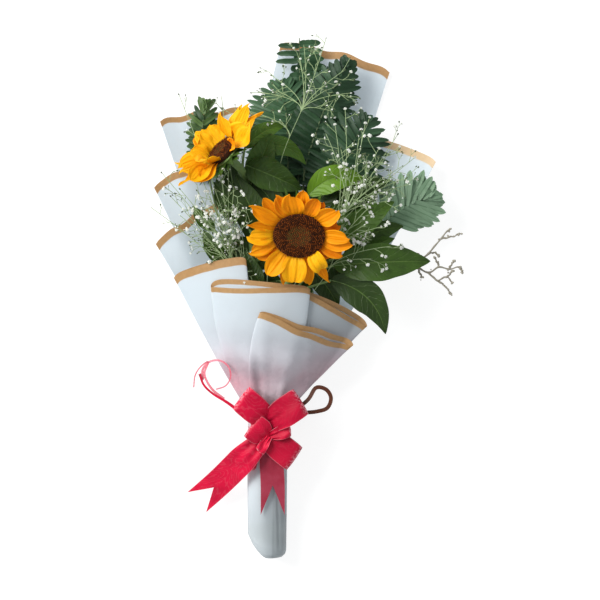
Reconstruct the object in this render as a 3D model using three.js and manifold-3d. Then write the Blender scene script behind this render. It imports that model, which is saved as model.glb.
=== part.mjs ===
// A hand-tied bunch: two sunflowers with leaves, fern fronds, baby's breath and a dry twig, wrapped in
// frosted paper with a printed border, rolled into a handle and tied with a ribbon bow.
// Millimetres. The bunch lies on its back: +Z is up, +Y runs from the handle towards the flowers.
import * as THREE from "three";
import { mergeVertices } from "three/addons/utils/BufferGeometryUtils.js";
import Module from "manifold-3d";

const wasm = await Module();
wasm.setup();

const { lerp, clamp, degToRad } = THREE.MathUtils;
const { PI } = Math;
const UP = new THREE.Vector3(0, 0, 1);

// Finishes
const FINISH = {
  paper: { color: 0xe8edec, roughness: 0.55, metalness: 0 },
  tape: { color: 0x5f7a4a, roughness: 0.5, metalness: 0 },
  ribbon: { color: 0xd4214a, roughness: 0.38, metalness: 0 },
  petal: { color: 0xffa515, roughness: 0.6, metalness: 0 },
  disc: { color: 0x5a2a12, roughness: 0.9, metalness: 0 },
  leaf: { color: 0x3a5a1c, roughness: 0.5, metalness: 0 },
  fern: { color: 0x2f5535, roughness: 0.6, metalness: 0 },
  gypsophila: { color: 0xdfe6d2, roughness: 0.8, metalness: 0 },
  twig: { color: 0x8a8577, roughness: 0.9, metalness: 0 },
};

// The tie: where the stems are bound, and the slots that keep them apart there
const TIE = { x: -45.4, z: 19.75 };
const STEM_CUT_Y = -274;
const NECK_LOW_Y = -165;
const NECK_HIGH_Y = -139;
const BINDING = { low: -195, high: -183, reach: 5.2, inner: 8.7, outer: 9.7 };

// The paper handle, an oval tube with one flat facet down
const HANDLE = {
  sides: 16,
  top: -138,
  bottom: -289,
  shoulder: -166,
  neckFoot: -160,
  wide: 21.5,
  endWide: 20.5,
  tall: TIE.z / Math.cos(PI / 16),
  neckWide: 20,
  neckTall: 17.5,
  wall: 1,
  endSlant: 0.12,
};

// The wrap: how high its front stands over the flowers' stems, and how its back lies on the surface
const WRAP_START_Y = -136;
const WRAP_LENGTH = 155;
const FRONT = { side: 27.3, rise: 42.7, neckHalf: 21, spread: 102, drift: 9 };
const STRIP_START_Y = -158;
const STRIP_SHARE = 0.1;
const PAPER = { single: 0.8, wall: 0.9, neckPocket: 1.6, rimPocket: 6 };
const POCKET_LIFT = [
  [1.3, 3.2],
  [3.5, 10.5],
  [5.7, 18.5],
];
const BACK_NECK_Z = [7, 8.4, 9.8, 11.2];
const BACK_STEP = 2.4;
const BACK_TROUGH = {
  flat: 0.3,
  startY: -145,
  left: { rise: 20, neckX: -66, farX: -169, run: 209 },
  right: { rise: 18, neckX: -25, farX: 143, run: 301 },
  middle: { farX: 6, run: 425 },
};

// Every lobe of the wrap: two edges, each from the neck over a middle point to the rim's corner
const POCKETS = [
  {
    name: "paper_front_left",
    level: 0,
    bow: 3,
    left: [[-60, -135], [-104, -68], [-148, 26]],
    right: [[-46.2, -135], [-58, -55], [-67, 46]],
  },
  {
    name: "paper_front_right",
    level: 0,
    bow: 2,
    left: [[-44.6, -135], [-30, -65], [-3, 8]],
    right: [[-31, -135], [20, -82], [66, -28]],
  },
  {
    name: "paper_front_middle",
    level: 1,
    bow: 0,
    left: [[-57, -135], [-103, -70], [-106, 17]],
    right: [[-34, -135], [-1, -60], [3, 13]],
  },
  {
    name: "paper_front_top",
    level: 2,
    bow: -3,
    left: [[-54, -135], [-76, -80], [-52, -12]],
    right: [[-37, -135], [6, -98], [50, -49]],
  },
];
const SHEETS = [
  {
    name: "paper_back_middle",
    level: 0,
    bow: 4,
    wave: 2,
    left: [[-55.2, -135], [-85, 70], [-29, 284]],
    right: [[-35.6, -135], [74, 191], [91, 250]],
  },
  {
    name: "paper_back_left",
    level: 1,
    bow: 2,
    wave: 5,
    left: [[-57.4, -135], [-110, 30], [-164.5, 201]],
    right: [[-46, -135], [-60, 40], [-60, 215]],
  },
  {
    name: "paper_back_right",
    level: 1,
    bow: 3,
    wave: 0,
    left: [[-44.8, -135], [0, 30], [47, 189]],
    right: [[-33.4, -135], [70, 5], [143.5, 156]],
  },
  {
    name: "paper_side_left",
    level: 2,
    bow: 3,
    wave: 2,
    left: [[-57.4, -135], [-112, -5], [-171, 127]],
    right: [[-33.4, -135], [-60, 20], [-85, 168]],
  },
  {
    name: "paper_side_left_low",
    level: 3,
    bow: 2,
    wave: 2,
    left: [[-57.4, -135], [-115, -35], [-169, 64]],
    right: [[-33.4, -135], [-50, -10], [-95, 112]],
  },
];

// The flower heads: centre, the direction they face, and a direction in the plane of the petals
const HEADS = [
  {
    name: "sunflower_right",
    centre: [-9.4, 67.7, 106],
    facing: [-0.05, -0.33, 0.943],
    across: [0.998, 0, 0.053],
    disc: 28,
    discSides: 24,
    petals: 10,
    bracts: 9,
    petalLength: 31,
    petalWidth: 15,
    cup: 15,
    curl: 0.07,
    seed: 11,
    shorter: 0,
  },
  {
    name: "sunflower_left",
    centre: [-96, 163, 84],
    facing: [-0.66, 0.621, 0.42],
    across: [0.685, 0.729, 0],
    disc: 22,
    discSides: 20,
    petals: 9,
    bracts: 11,
    petalLength: 38,
    petalWidth: 16,
    cup: 28,
    curl: 0.13,
    seed: 23,
    shorter: 0.36,
  },
];

// A petal, the disc's relief, and the green cup behind a head, as [radius, height] from the petals' plane
const PETAL = { thick: 0.8, cup: 0.25, footOut: 1.6, footHeight: -0.6, layerDrop: 1.4, layerTilt: 8 };
const DISC = { rings: 6, depth: 2.6, rim: 1.6, dome: 3.6, hollow: 2.6, hollowShare: 0.4, floret: 0.6 };
const CUP = {
  rimOut: 2,
  foot: [[0, -14], [4, -14]],
  shoulder: [0.55, -10.5],
  rim: [-5.4, -4],
  collar: [-8.2, -7.3],
  top: -3.1,
  bractReach: 18,
  bractSpread: 8,
  bractDrop: 2,
  webRise: 2.6,
};

// Leafy stems: the slot at the tie, the way up to the head, and the leaves (foot, middle, tip)
const STEM_RADIUS = 5;
const LEAF = { thick: 0.8, stalkThick: 2.2, stalkHalf: 1.2, fold: 0.25, wave: 0.12, wide: 38 };
const STEMS = [
  {
    name: "leafy_stem_right",
    slot: [5.2, 0],
    way: [[-36, -70, 34], [-26, 0, 50], [-15, 46, 60]],
    leaves: [
      { foot: [29, 36, 64], middle: [85, 40, 72], tip: [135, 41, 60], width: 42, from: 0.79 },
      { foot: [26, 20, 62], middle: [66, 0, 66], tip: [86, -39, 56], width: 36, from: 0.73 },
      { foot: [40, 47, 56], middle: [68, 58, 60], tip: [96, 66, 56], width: 24, from: 0.8 },
      { foot: [41, 64, 66], middle: [66, 88, 72], tip: [95, 106, 70], width: 33, from: 0.84 },
      { foot: [2, 113, 68], middle: [30, 132, 73], tip: [65, 127, 67], width: 34, from: 0.88 },
      { foot: [-50, 15, 60], middle: [-60, 32, 62], tip: [-68, 53, 58], width: 20, from: 0.66 },
    ],
  },
  {
    name: "leafy_stem_left",
    slot: [-5.2, 0],
    way: [[-54, -70, 31], [-58, 10, 44], [-62, 80, 52], [-67, 120, 57]],
    leaves: [
      { foot: [-67, 146, 66], middle: [-38, 134, 72], tip: [-6, 120, 58], width: 40, from: 0.93 },
      { foot: [-63, 157, 58], middle: [-30, 168, 58], tip: [-2, 148, 54], width: 26, from: 0.92 },
      { foot: [-69, 166, 52], middle: [-48, 184, 52], tip: [-26, 190, 50], width: 24, from: 0.95 },
      { foot: [-50, 69, 64], middle: [-66, 96, 72], tip: [-86, 122, 70], width: 22, from: 0.7 },
      { foot: [-94, 40, 46], middle: [-105, 57, 52], tip: [-115, 76, 48], width: 22, from: 0.6 },
      { foot: [-103, 76, 46], middle: [-116, 88, 52], tip: [-127, 102, 50], width: 18, from: 0.68 },
    ],
  },
];

// Fern fronds: the slot at the tie, the bare stalk, and the rib that carries the leaflets
const FERN_STALK_RADIUS = 1.2;
const FROND = { ribHalf: 1.2, ribThick: 1.5, thick: 0.7, gap: 1.6, droop: 0.01, foot: 5, tip: 6, least: 0.3 };
const FERNS = [
  {
    name: "fern_frond_left",
    slot: [-11.6, -1.5],
    stalk: [[-62, -80, 18], [-80, 10, 20], [-97, 80, 22]],
    rib: [[-109, 130, 22], [-114, 163, 22], [-119, 196, 23], [-114, 223, 24]],
    pairs: 10,
    leaflet: 21,
    width: 6.2,
    lean: 12,
  },
  {
    name: "fern_frond_middle_tall",
    slot: [-2.6, -6.6],
    stalk: [[-45, -80, 14], [-32, 10, 16], [-20, 80, 18]],
    rib: [[-10, 125, 19], [-6, 190, 19], [-2, 240, 19], [6, 286, 19]],
    pairs: 14,
    leaflet: 34,
    width: 7,
    lean: 14,
  },
  {
    name: "fern_frond_middle_left",
    slot: [-7.8, -6.6],
    stalk: [[-52, -80, 15], [-48, 10, 19], [-38, 80, 23]],
    rib: [[-22, 135, 25.6], [-22, 180, 26.4], [-24, 215, 26.8], [-29, 250, 26]],
    pairs: 11,
    leaflet: 46,
    width: 8,
    lean: 11,
  },
  {
    name: "fern_frond_middle_right",
    slot: [2.6, -6.6],
    stalk: [[-38, -80, 16], [-18, 10, 22], [-8, 80, 28]],
    rib: [[-3, 147, 33], [16, 202, 33], [36, 246, 33], [53, 275, 33]],
    pairs: 12,
    leaflet: 28,
    width: 7,
    lean: 14,
  },
  {
    name: "fern_frond_right_tall",
    slot: [7.8, -6.6],
    stalk: [[-32, -80, 15], [0, 10, 20], [25, 60, 26]],
    rib: [[41, 103, 40], [46, 140, 40], [52, 175, 40], [60, 204, 40]],
    pairs: 11,
    leaflet: 40,
    width: 7.6,
    lean: 12,
  },
  {
    name: "fern_frond_right",
    slot: [11.6, -1.5],
    stalk: [[-26, -80, 20], [20, 0, 24], [60, 60, 34]],
    rib: [[85, 84, 46], [102, 102, 46], [129, 116, 46], [147, 124, 46]],
    pairs: 8,
    leaflet: 32,
    width: 7.6,
    lean: 16,
  },
];

// Baby's breath: the slot at the tie, the main stem, and where each branch ends in blossoms
const SPRAY_RADIUS = 1;
const BRANCH_RADIUS = 0.6;
const BLOSSOM_RADIUS = 2.6;
const SPRAYS = [
  {
    name: "babys_breath_left",
    slot: [-10, 3.5],
    way: [[-60, -80, 36], [-72, 0, 49], [-82, 42, 56], [-90, 70, 71]],
    tips: [
      [-93, 133, 92], [-107, 112, 84], [-121, 118, 80], [-80, 118, 96], [-70, 98, 92], [-100, 100, 95],
    ],
    seed: 31,
  },
  {
    name: "babys_breath_middle",
    slot: [0, 2.9],
    way: [[-45, -80, 42], [-43, 0, 58], [-38, 60, 70], [-30, 110, 84], [-18, 160, 80], [-8, 202, 72]],
    tips: [
      [-33.5, 228, 66], [-8, 262, 64], [-5, 279, 60], [41, 251, 64], [21, 229, 68], [-54, 227, 62],
      [-85, 222, 55],
    ],
    seed: 37,
  },
  {
    name: "babys_breath_middle_right",
    slot: [5.2, 6.5],
    way: [[-38, -80, 43], [-22, 0, 61], [10, 50, 74], [38, 90, 82], [45, 112, 84]],
    tips: [
      [77.5, 163, 88], [63, 191, 80], [41, 207, 76], [99, 180, 72], [104, 145, 74], [76, 125, 92],
      [88, 106, 84], [36, 163, 92],
    ],
    seed: 41,
  },
  {
    name: "babys_breath_right",
    slot: [10, 3.5],
    way: [[-30, -80, 38], [-5, -10, 54], [24, 33, 76], [36, 72, 88]],
    tips: [[22, 97, 95], [40, 95, 97], [67, 99, 92], [44, 118, 96], [62, 80, 90]],
    seed: 43,
  },
  {
    name: "babys_breath_far_left",
    slot: [-5.2, 6.5],
    way: [[-53, -80, 42], [-65, 0, 56], [-75, 54, 60]],
    tips: [
      [-172, 100, 66], [-150, 112, 72], [-160, 138, 72], [-140, 120, 70], [-141, 92, 58], [-118, 64, 57],
    ],
    seed: 47,
  },
];

// The dry twig
const TWIG = {
  name: "dry_twig",
  slot: [11.8, 1.2],
  way: [[-28, -80, 30], [10, -10, 44], [40, 5, 46], [75, 28, 50], [100, 38, 54], [121, 52, 56]],
  tips: [[157, 72, 58], [146, 58, 60], [171, 38, 54], [160, 20, 50], [154, 11, 46]],
  radius: 1.2,
  seed: 53,
};

// The ribbon: a band round the neck, a knot, loops, tails and thin pull ribbons
const BAND = { low: -160, high: -138, gap: 0.3, thick: 1.2 };
const KNOT = { at: [-43.5, -150, 44.5], size: [15, 12, 7] };
const RIBBON = { width: 31, thick: 0.9, pinch: 12, pullWidth: 3.4, pullThick: 0.8 };
const LOOPS = [
  { end: [-74, -107], low: 61, high: 74, foot: 44 },
  { end: [-7, -111], low: 58, high: 70, foot: 44 },
  { end: [-63, -141], low: 63, high: 72, foot: 50 },
  { end: [-14.5, -178], low: 44, high: 57, foot: 43 },
];
const PULLS = {
  left: [[-45, -150, 46], [-66, -132, 52], [-88, -113, 54], [-108, -101, 53]],
  leftCurl: { centre: [-100.6, -84, 52], radius: 16, start: 200, turn: -290, lift: 5 },
  right: [
    [-42, -148, 46], [-20, -128, 48], [0.5, -112, 47], [10, -98.5, 46], [21, -101, 45],
    [26, -110, 45], [22, -121, 46], [10, -125, 47], [0, -126, 48],
  ],
};
const TAILS = [
  { way: [[-47, -154, 45], [-70, -177, 39], [-94, -199, 19], [-120.2, -221.8, 2.4]], notch: 27 },
  { way: [[-42, -154, 45], [-41, -178, 43.5], [-39.5, -208, 42.5], [-39, -238, 42]], notch: 26 },
];

// Helpers: vectors, seeded numbers, and closed bodies bent by a formula

function vector(list) {
  return new THREE.Vector3(...list);
}

function seeded(seed) {
  let state = seed;
  return () => {
    state = (state * 16807) % 2147483647;
    return state / 2147483647;
  };
}

function ease(t) {
  const part = clamp(t, 0, 1);
  return part * part * (3 - 2 * part);
}

function welded(geometry) {
  const bare = geometry.clone();
  bare.deleteAttribute("normal");
  bare.deleteAttribute("uv");
  bare.clearGroups();
  return mergeVertices(bare, 1e-5);
}

// Moves every corner of a closed shape to where place(x, y, z) says.
function bend(geometry, place) {
  const shape = welded(geometry);
  const corners = shape.attributes.position;
  for (let i = 0; i < corners.count; i += 1) {
    const moved = place(corners.getX(i), corners.getY(i), corners.getZ(i));
    corners.setXYZ(i, moved.x, moved.y, moved.z);
  }
  return solid(shape);
}

// Turns a closed shape into a solid, with its faces pointing out.
function solid(shape) {
  const corners = Float32Array.from(shape.attributes.position.array);
  const faces = Uint32Array.from(shape.index.array);
  if (signedVolume(corners, faces) < 0) {
    faces.reverse();
  }
  return new wasm.Manifold(new wasm.Mesh({ numProp: 3, vertProperties: corners, triVerts: faces }));
}

function signedVolume(corners, faces) {
  const corner = (i) => vector([corners[3 * i], corners[3 * i + 1], corners[3 * i + 2]]);
  let sum = 0;
  for (let i = 0; i < faces.length; i += 3) {
    sum += corner(faces[i]).dot(corner(faces[i + 1]).cross(corner(faces[i + 2])));
  }
  return sum / 6;
}

function fused(solids) {
  return wasm.Manifold.union(solids);
}

// A thin plate, x from -1 to 1 and y from -0.5 to 0.5, whose two faces are split along the same diagonals.
function evenPlate(columns, rows) {
  const plate = new THREE.BoxGeometry(2, 1, 1, columns, rows, 1);
  const back = plate.groups[5];
  const corners = plate.index.array;
  for (let i = back.start; i < back.start + back.count; i += 6) {
    const [a, b, d, , c] = corners.slice(i, i + 5);
    corners.set([a, b, c, a, c, d], i);
  }
  return plate;
}

// A blade over the surface(u, v), with u from -1 to 1 across it and v from 0 to 1 along it.
function blade(columns, rows, thickness, surface) {
  const thick = typeof thickness === "function" ? thickness : () => thickness;
  const step = 0.01;
  return bend(evenPlate(columns, rows), (u, y, z) => {
    const v = y + 0.5;
    const point = surface(u, v);
    const acrossIt = surface(Math.min(u + step, 1), v).sub(surface(Math.max(u - step, -1), v));
    const alongIt = surface(u, Math.min(v + step, 1)).sub(surface(u, Math.max(v - step, 0)));
    const normal = acrossIt.cross(alongIt).normalize();
    return point.addScaledVector(normal, z * thick(v));
  });
}

function smoothCurve(points) {
  return new THREE.CatmullRomCurve3(points, false, "centripetal");
}

// A rod along a curve. Each ring is its share of the curve's length and its radius there.
function rod(curve, sides, rings) {
  const steps = rings.length - 1;
  const fine = 40;
  const frames = curve.computeFrenetFrames(fine, false);
  const outline = new THREE.Shape();
  for (let i = 0; i < sides; i += 1) {
    const angle = (2 * PI * i) / sides;
    outline[i === 0 ? "moveTo" : "lineTo"](Math.cos(angle), Math.sin(angle));
  }
  const bar = new THREE.ExtrudeGeometry(outline, { depth: 1, steps, bevelEnabled: false });
  return bend(bar, (x, y, z) => {
    const [share, radius] = rings[Math.round(z * steps)];
    const frame = Math.round(share * fine);
    return curve
      .getPointAt(share)
      .addScaledVector(frames.normals[frame], x * radius)
      .addScaledVector(frames.binormals[frame], y * radius);
  });
}

// The way of a stem: straight through the handle and parallel through the tie, then on to its own points.
function stemCurve(slot, way) {
  const x = TIE.x + slot[0];
  const z = TIE.z + slot[1];
  const tied = [STEM_CUT_Y, NECK_LOW_Y, NECK_HIGH_Y].map((y) => vector([x, y, z]));
  return smoothCurve(tied.concat(way));
}

// A stem's rod: one long step where it is straight in the handle, then even steps.
function stemRod(curve, sides, steps, startRadius, endRadius) {
  const rings = ringShares(curve, steps).map((share) => [share, lerp(startRadius, endRadius, share)]);
  return rod(curve, sides, [[0, startRadius], ...rings]);
}

// The wrap

function alongWrap(y) {
  return clamp((y - WRAP_START_Y) / WRAP_LENGTH, 0, 1.2);
}

// The height over the surface where the front of the wrap starts, above the stems and leaves.
function frontHeight(x, y) {
  const s = alongWrap(y);
  const middle = TIE.x + FRONT.drift * s;
  const half = FRONT.neckHalf + FRONT.spread * s;
  const side = FRONT.side + 6 * s;
  const top = FRONT.side + FRONT.rise * Math.sin((Math.min(s, 1) * PI) / 2) ** 0.9;
  const t = clamp((x - middle) / half, -1, 1);
  return side + (top - side) * (1 - t * t);
}

// The trough of the back: flat in the middle, with its sides turned up.
function troughHeight(x, y) {
  const { flat, startY, left, right, middle } = BACK_TROUGH;
  const shareOf = (run) => clamp((y - startY) / run, 0, 1);
  const middleX = lerp(TIE.x, middle.farX, shareOf(middle.run));
  const side = x < middleX ? left : right;
  const endX = lerp(side.neckX, side.farX, shareOf(side.run));
  const t = (x - middleX) / (endX - middleX);
  const turned = clamp((t - flat) / (1 - flat), 0, 1.1);
  return side.rise * turned ** 2;
}

function edgePoint([neck, middle, corner], v) {
  if (v < STRIP_SHARE) {
    return { x: neck[0], y: lerp(STRIP_START_Y, neck[1], v / STRIP_SHARE) };
  }
  const t = (v - STRIP_SHARE) / (1 - STRIP_SHARE);
  const a = (1 - t) ** 2;
  const b = 2 * t * (1 - t);
  const c = t ** 2;
  return {
    x: a * neck[0] + b * middle[0] + c * corner[0],
    y: a * neck[1] + b * middle[1] + c * corner[1],
  };
}

function lobePlan(lobe, u, v) {
  const left = edgePoint(lobe.left, v);
  const right = edgePoint(lobe.right, v);
  const side = (u + 1) / 2;
  const bulge = lobe.bow * (1 - u * u) + (lobe.wave ?? 0) * Math.sin(2.5 * PI * u) * (1 - u * u);
  return { x: lerp(left.x, right.x, side), y: lerp(left.y, right.y, side) + bulge * v ** 3 };
}

// The first of a lobe's rows is its straight strip in the neck, and the others share the rest.
function lobeRow(v, rows) {
  const first = 1 / rows;
  return v < first ? (v / first) * STRIP_SHARE : lerp(STRIP_SHARE, 1, ((v - first) / (1 - first)) ** 1.35);
}

// A front lobe: a flattened tube of paper, closed at its foot and open at its rim.
function pocket(lobe) {
  const [neckLift, rimLift] = POCKET_LIFT[lobe.level];
  const outerRows = 7;
  const innerRows = 3;
  const hollowFoot = 0.4;
  const mouth = 0.03;
  const profile = [new THREE.Vector2(0, 0)];
  for (let i = 0; i <= outerRows; i += 1) {
    profile.push(new THREE.Vector2(1, i / outerRows));
  }
  for (let i = innerRows; i >= 0; i -= 1) {
    profile.push(new THREE.Vector2(0.5, lerp(hollowFoot, 1, i / innerRows)));
  }
  profile.push(new THREE.Vector2(0, hollowFoot));
  return bend(new THREE.LatheGeometry(profile, 10), (x, height, z) => {
    const radius = Math.hypot(x, z);
    const across = radius > 0.01 ? x / radius : 0;
    const lens = radius > 0.01 ? Math.sign(z) * Math.abs(z / radius) ** 0.6 : 0;
    const v = lobeRow(height, outerRows);
    const isInner = radius < 0.9 && radius > 0.01;
    const wide = edgePoint(lobe.right, v).x - edgePoint(lobe.left, v).x;
    const u = isInner ? across * (1 - 5 / wide) : across;
    const flatV = v * (1 - mouth * lens * ease((v - 0.6) / 0.4));
    const plan = lobePlan(lobe, u, flatV);
    const s = alongWrap(plan.y);
    const middle = frontHeight(plan.x, plan.y) + neckLift + (rimLift - neckLift) * ease(s / 0.6);
    const thick = lerp(PAPER.neckPocket, PAPER.rimPocket, ease(s / 0.8));
    const outerReach = (Math.abs(lens) * thick) / 2;
    const reach = isInner ? Math.max(outerReach - PAPER.wall, 0) : outerReach;
    return vector([plan.x, plan.y, middle + Math.sign(lens) * reach]);
  });
}

// A single sheet at the back of the wrap.
function sheet(lobe) {
  const rows = 7;
  return blade(4, rows, PAPER.single, (u, row) => {
    const plan = lobePlan(lobe, u, lobeRow(row, rows));
    const low = troughHeight(plan.x, plan.y) + PAPER.single / 2 + BACK_STEP * lobe.level;
    const z = lerp(BACK_NECK_Z[lobe.level], low, ease(alongWrap(plan.y) / 0.5));
    return vector([plan.x, plan.y, z]);
  });
}

// The handle: a rolled oval tube, open at the neck and closed by a rounded, slanting end.
function handle() {
  const place = (angle, radius, y, wide, tall) => {
    const slant = y < HANDLE.bottom + 12 ? HANDLE.endSlant * radius * Math.cos(angle) * wide : 0;
    return vector([
      TIE.x + wide * radius * Math.cos(angle),
      y - slant,
      TIE.z + tall * radius * Math.sin(angle),
    ]);
  };
  const rows = [
    [0, HANDLE.bottom, HANDLE.endWide, HANDLE.tall],
    [0.72, HANDLE.bottom + 0.5, HANDLE.endWide, HANDLE.tall],
    [0.93, HANDLE.bottom + 3.5, HANDLE.endWide, HANDLE.tall],
    [1, HANDLE.bottom + 9, HANDLE.endWide, HANDLE.tall],
    [1, HANDLE.shoulder, HANDLE.wide, HANDLE.tall],
    [1, HANDLE.neckFoot, HANDLE.neckWide, HANDLE.neckTall],
    [1, HANDLE.top, HANDLE.neckWide, HANDLE.neckTall],
    [1, HANDLE.top, HANDLE.neckWide - HANDLE.wall, HANDLE.neckTall - HANDLE.wall],
    [1, HANDLE.neckFoot, HANDLE.neckWide - HANDLE.wall, HANDLE.neckTall - HANDLE.wall],
    [1, HANDLE.shoulder, HANDLE.wide - HANDLE.wall, HANDLE.tall - HANDLE.wall],
    [1, HANDLE.bottom + 10, HANDLE.endWide - HANDLE.wall, HANDLE.tall - HANDLE.wall],
    [0.9, HANDLE.bottom + 5, HANDLE.endWide - HANDLE.wall, HANDLE.tall - HANDLE.wall],
    [0, HANDLE.bottom + 2, HANDLE.endWide - HANDLE.wall, HANDLE.tall - HANDLE.wall],
  ];
  const profile = rows.map((row, i) => new THREE.Vector2(row[0] === 0 ? 0 : 1, i));
  const tube = new THREE.LatheGeometry(profile, HANDLE.sides, PI / HANDLE.sides);
  return bend(tube, (x, i, z) => {
    const [radius, y, wide, tall] = rows[Math.round(i)];
    return place(Math.atan2(z, x), radius, y, wide, tall);
  });
}

// An oval ring round the stems or the neck, between two heights.
function ring(low, high, place) {
  const profile = [
    new THREE.Vector2(1, 0),
    new THREE.Vector2(2, 0),
    new THREE.Vector2(2, 1),
    new THREE.Vector2(1, 1),
    new THREE.Vector2(1, 0),
  ];
  return bend(new THREE.LatheGeometry(profile, HANDLE.sides, PI / HANDLE.sides), (x, y, z) => {
    const isOuter = Math.hypot(x, z) > 1.5;
    const spot = place(Math.atan2(z, x), isOuter);
    return vector([TIE.x + spot[0], lerp(low, high, y), TIE.z + spot[1]]);
  });
}

function binding() {
  return ring(BINDING.low, BINDING.high, (angle, isOuter) => {
    const radius = isOuter ? BINDING.outer : BINDING.inner / Math.cos(PI / HANDLE.sides);
    const shift = Math.sign(Math.cos(angle)) * BINDING.reach;
    return [shift + radius * Math.cos(angle), radius * Math.sin(angle)];
  });
}

// The flower heads

// Turns a place in a head's own frame, with z out of its face, to the bunch's.
function headFrame(head) {
  const centre = vector(head.centre);
  const facing = vector(head.facing).normalize();
  const second = facing.clone().cross(vector(head.across)).normalize();
  const first = second.clone().cross(facing);
  return (x, y, z) =>
    centre.clone().addScaledVector(first, x).addScaledVector(second, y).addScaledVector(facing, z);
}

function petalOutline(v) {
  if (v < 0.55) {
    return 0.42 + 0.58 * Math.sin((v / 0.55) * (PI / 2));
  }
  return Math.cos(((v - 0.55) / 0.45) * (PI / 2)) ** 0.8 * 0.95 + 0.05;
}

// A petal turned up by tilt degrees, cupped along its length, with a shallow channel down its middle.
function petal(place, angle, foot, length, width, tilt, curl) {
  const out = new THREE.Vector2(Math.cos(angle), Math.sin(angle));
  const rise = Math.sin(degToRad(tilt));
  const reach = Math.cos(degToRad(tilt));
  return blade(2, 3, PETAL.thick, (u, v) => {
    const half = (width / 2) * petalOutline(v);
    const along = foot.radius + reach * length * v;
    const cup = PETAL.cup * half * u * u * Math.min(3 * v, 1);
    const height = foot.height + rise * length * v - curl * length * v ** 2 + cup;
    return place(out.x * along - out.y * half * u, out.y * along + out.x * half * u, height);
  });
}

function petalRing(head) {
  const place = headFrame(head);
  const random = seeded(head.seed);
  const ringShape = new THREE.LatheGeometry(
    [[0.4, -DISC.depth], [3.2, -DISC.depth], [3.2, 0], [0.4, 0], [0.4, -DISC.depth]].map(
      ([out, height]) => new THREE.Vector2(head.disc + out, height),
    ),
    head.discSides,
  );
  const parts = [bend(ringShape, (x, y, z) => place(x, -z, y))];
  for (let layer = 0; layer < 2; layer += 1) {
    for (let i = 0; i < head.petals; i += 1) {
      const angle = (2 * PI * (i + layer * 0.5 + 0.24 * (random() - 0.5))) / head.petals;
      const near = Math.max(0, -Math.sin(angle)) ** 2;
      const length = head.petalLength * (0.92 + 0.16 * random()) * (1 - head.shorter * near);
      const width = head.petalWidth * (0.9 + 0.2 * random());
      const tilt = head.cup - PETAL.layerTilt * layer + 4 * (random() - 0.5);
      const foot = { radius: head.disc + PETAL.footOut, height: PETAL.footHeight - PETAL.layerDrop * layer };
      parts.push(petal(place, angle, foot, length, width, tilt, head.curl + 0.05 * random()));
    }
  }
  return fused(parts);
}

// The disc: a low dome with a hollow in its middle, and florets as a raised and sunken net.
function disc(head) {
  const place = headFrame(head);
  const profile = [new THREE.Vector2(0, -DISC.depth), new THREE.Vector2(head.disc, -DISC.depth)];
  for (let i = 0; i < DISC.rings; i += 1) {
    profile.push(new THREE.Vector2(head.disc * (1 - i / DISC.rings), 1));
  }
  profile.push(new THREE.Vector2(0, 1));
  return bend(new THREE.LatheGeometry(profile, head.discSides), (x, y, z) => {
    const share = Math.hypot(x, z) / head.disc;
    if (y < 0) {
      return place(x, -z, y);
    }
    const hollow = DISC.hollow * Math.exp(-((share / DISC.hollowShare) ** 2));
    const dome = DISC.rim + DISC.dome * (1 - share ** 2) - hollow;
    const round = Math.cos((Math.atan2(z, x) * head.discSides) / 2);
    const floret = DISC.floret * round * Math.cos(PI * DISC.rings * share);
    return place(x, -z, dome + (share > 0.01 ? floret : 0));
  });
}

// The green cup behind the petals. Its collar is a star: every second corner is a pointed bract.
function receptacle(head) {
  const place = headFrame(head);
  const random = seeded(head.seed + 5);
  const rim = head.disc + CUP.rimOut;
  const [collarLow, collarHigh] = CUP.collar;
  const [rimLow, rimHigh] = CUP.rim;
  const reaches = Array.from({ length: head.bracts }, () => CUP.bractReach + CUP.bractSpread * random());
  const profile = [
    ...CUP.foot,
    [CUP.shoulder[0] * rim, CUP.shoulder[1]],
    [rim, rimLow],
    [1, collarLow],
    [1, collarHigh],
    [rim, rimHigh],
    [0, CUP.top],
  ];
  const cup = new THREE.LatheGeometry(
    profile.map(([out, height]) => new THREE.Vector2(out, height)),
    2 * head.bracts,
  );
  return bend(cup, (x, y, z) => {
    const radius = Math.hypot(x, z);
    const onCollar = y > collarLow - 0.5 && y < collarHigh + 0.5;
    if (!onCollar) {
      return place(x, -z, y);
    }
    const corner = Math.round((Math.atan2(-z, x) / PI) * head.bracts) + 2 * head.bracts;
    const isTip = corner % 2 === 1;
    const reach = rim + (isTip ? reaches[((corner - 1) / 2) % head.bracts] : CUP.rimOut);
    const height = isTip ? y - CUP.bractDrop : y + CUP.webRise;
    return place((x / radius) * reach, (-z / radius) * reach, height);
  });
}

// The leafy stems

function leafOutline(v) {
  return 0.06 + 0.94 * Math.sin(PI * clamp(v, 0, 1) ** 0.8) ** 0.85 * (1 - 0.12 * v) - 0.05 * v;
}

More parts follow.
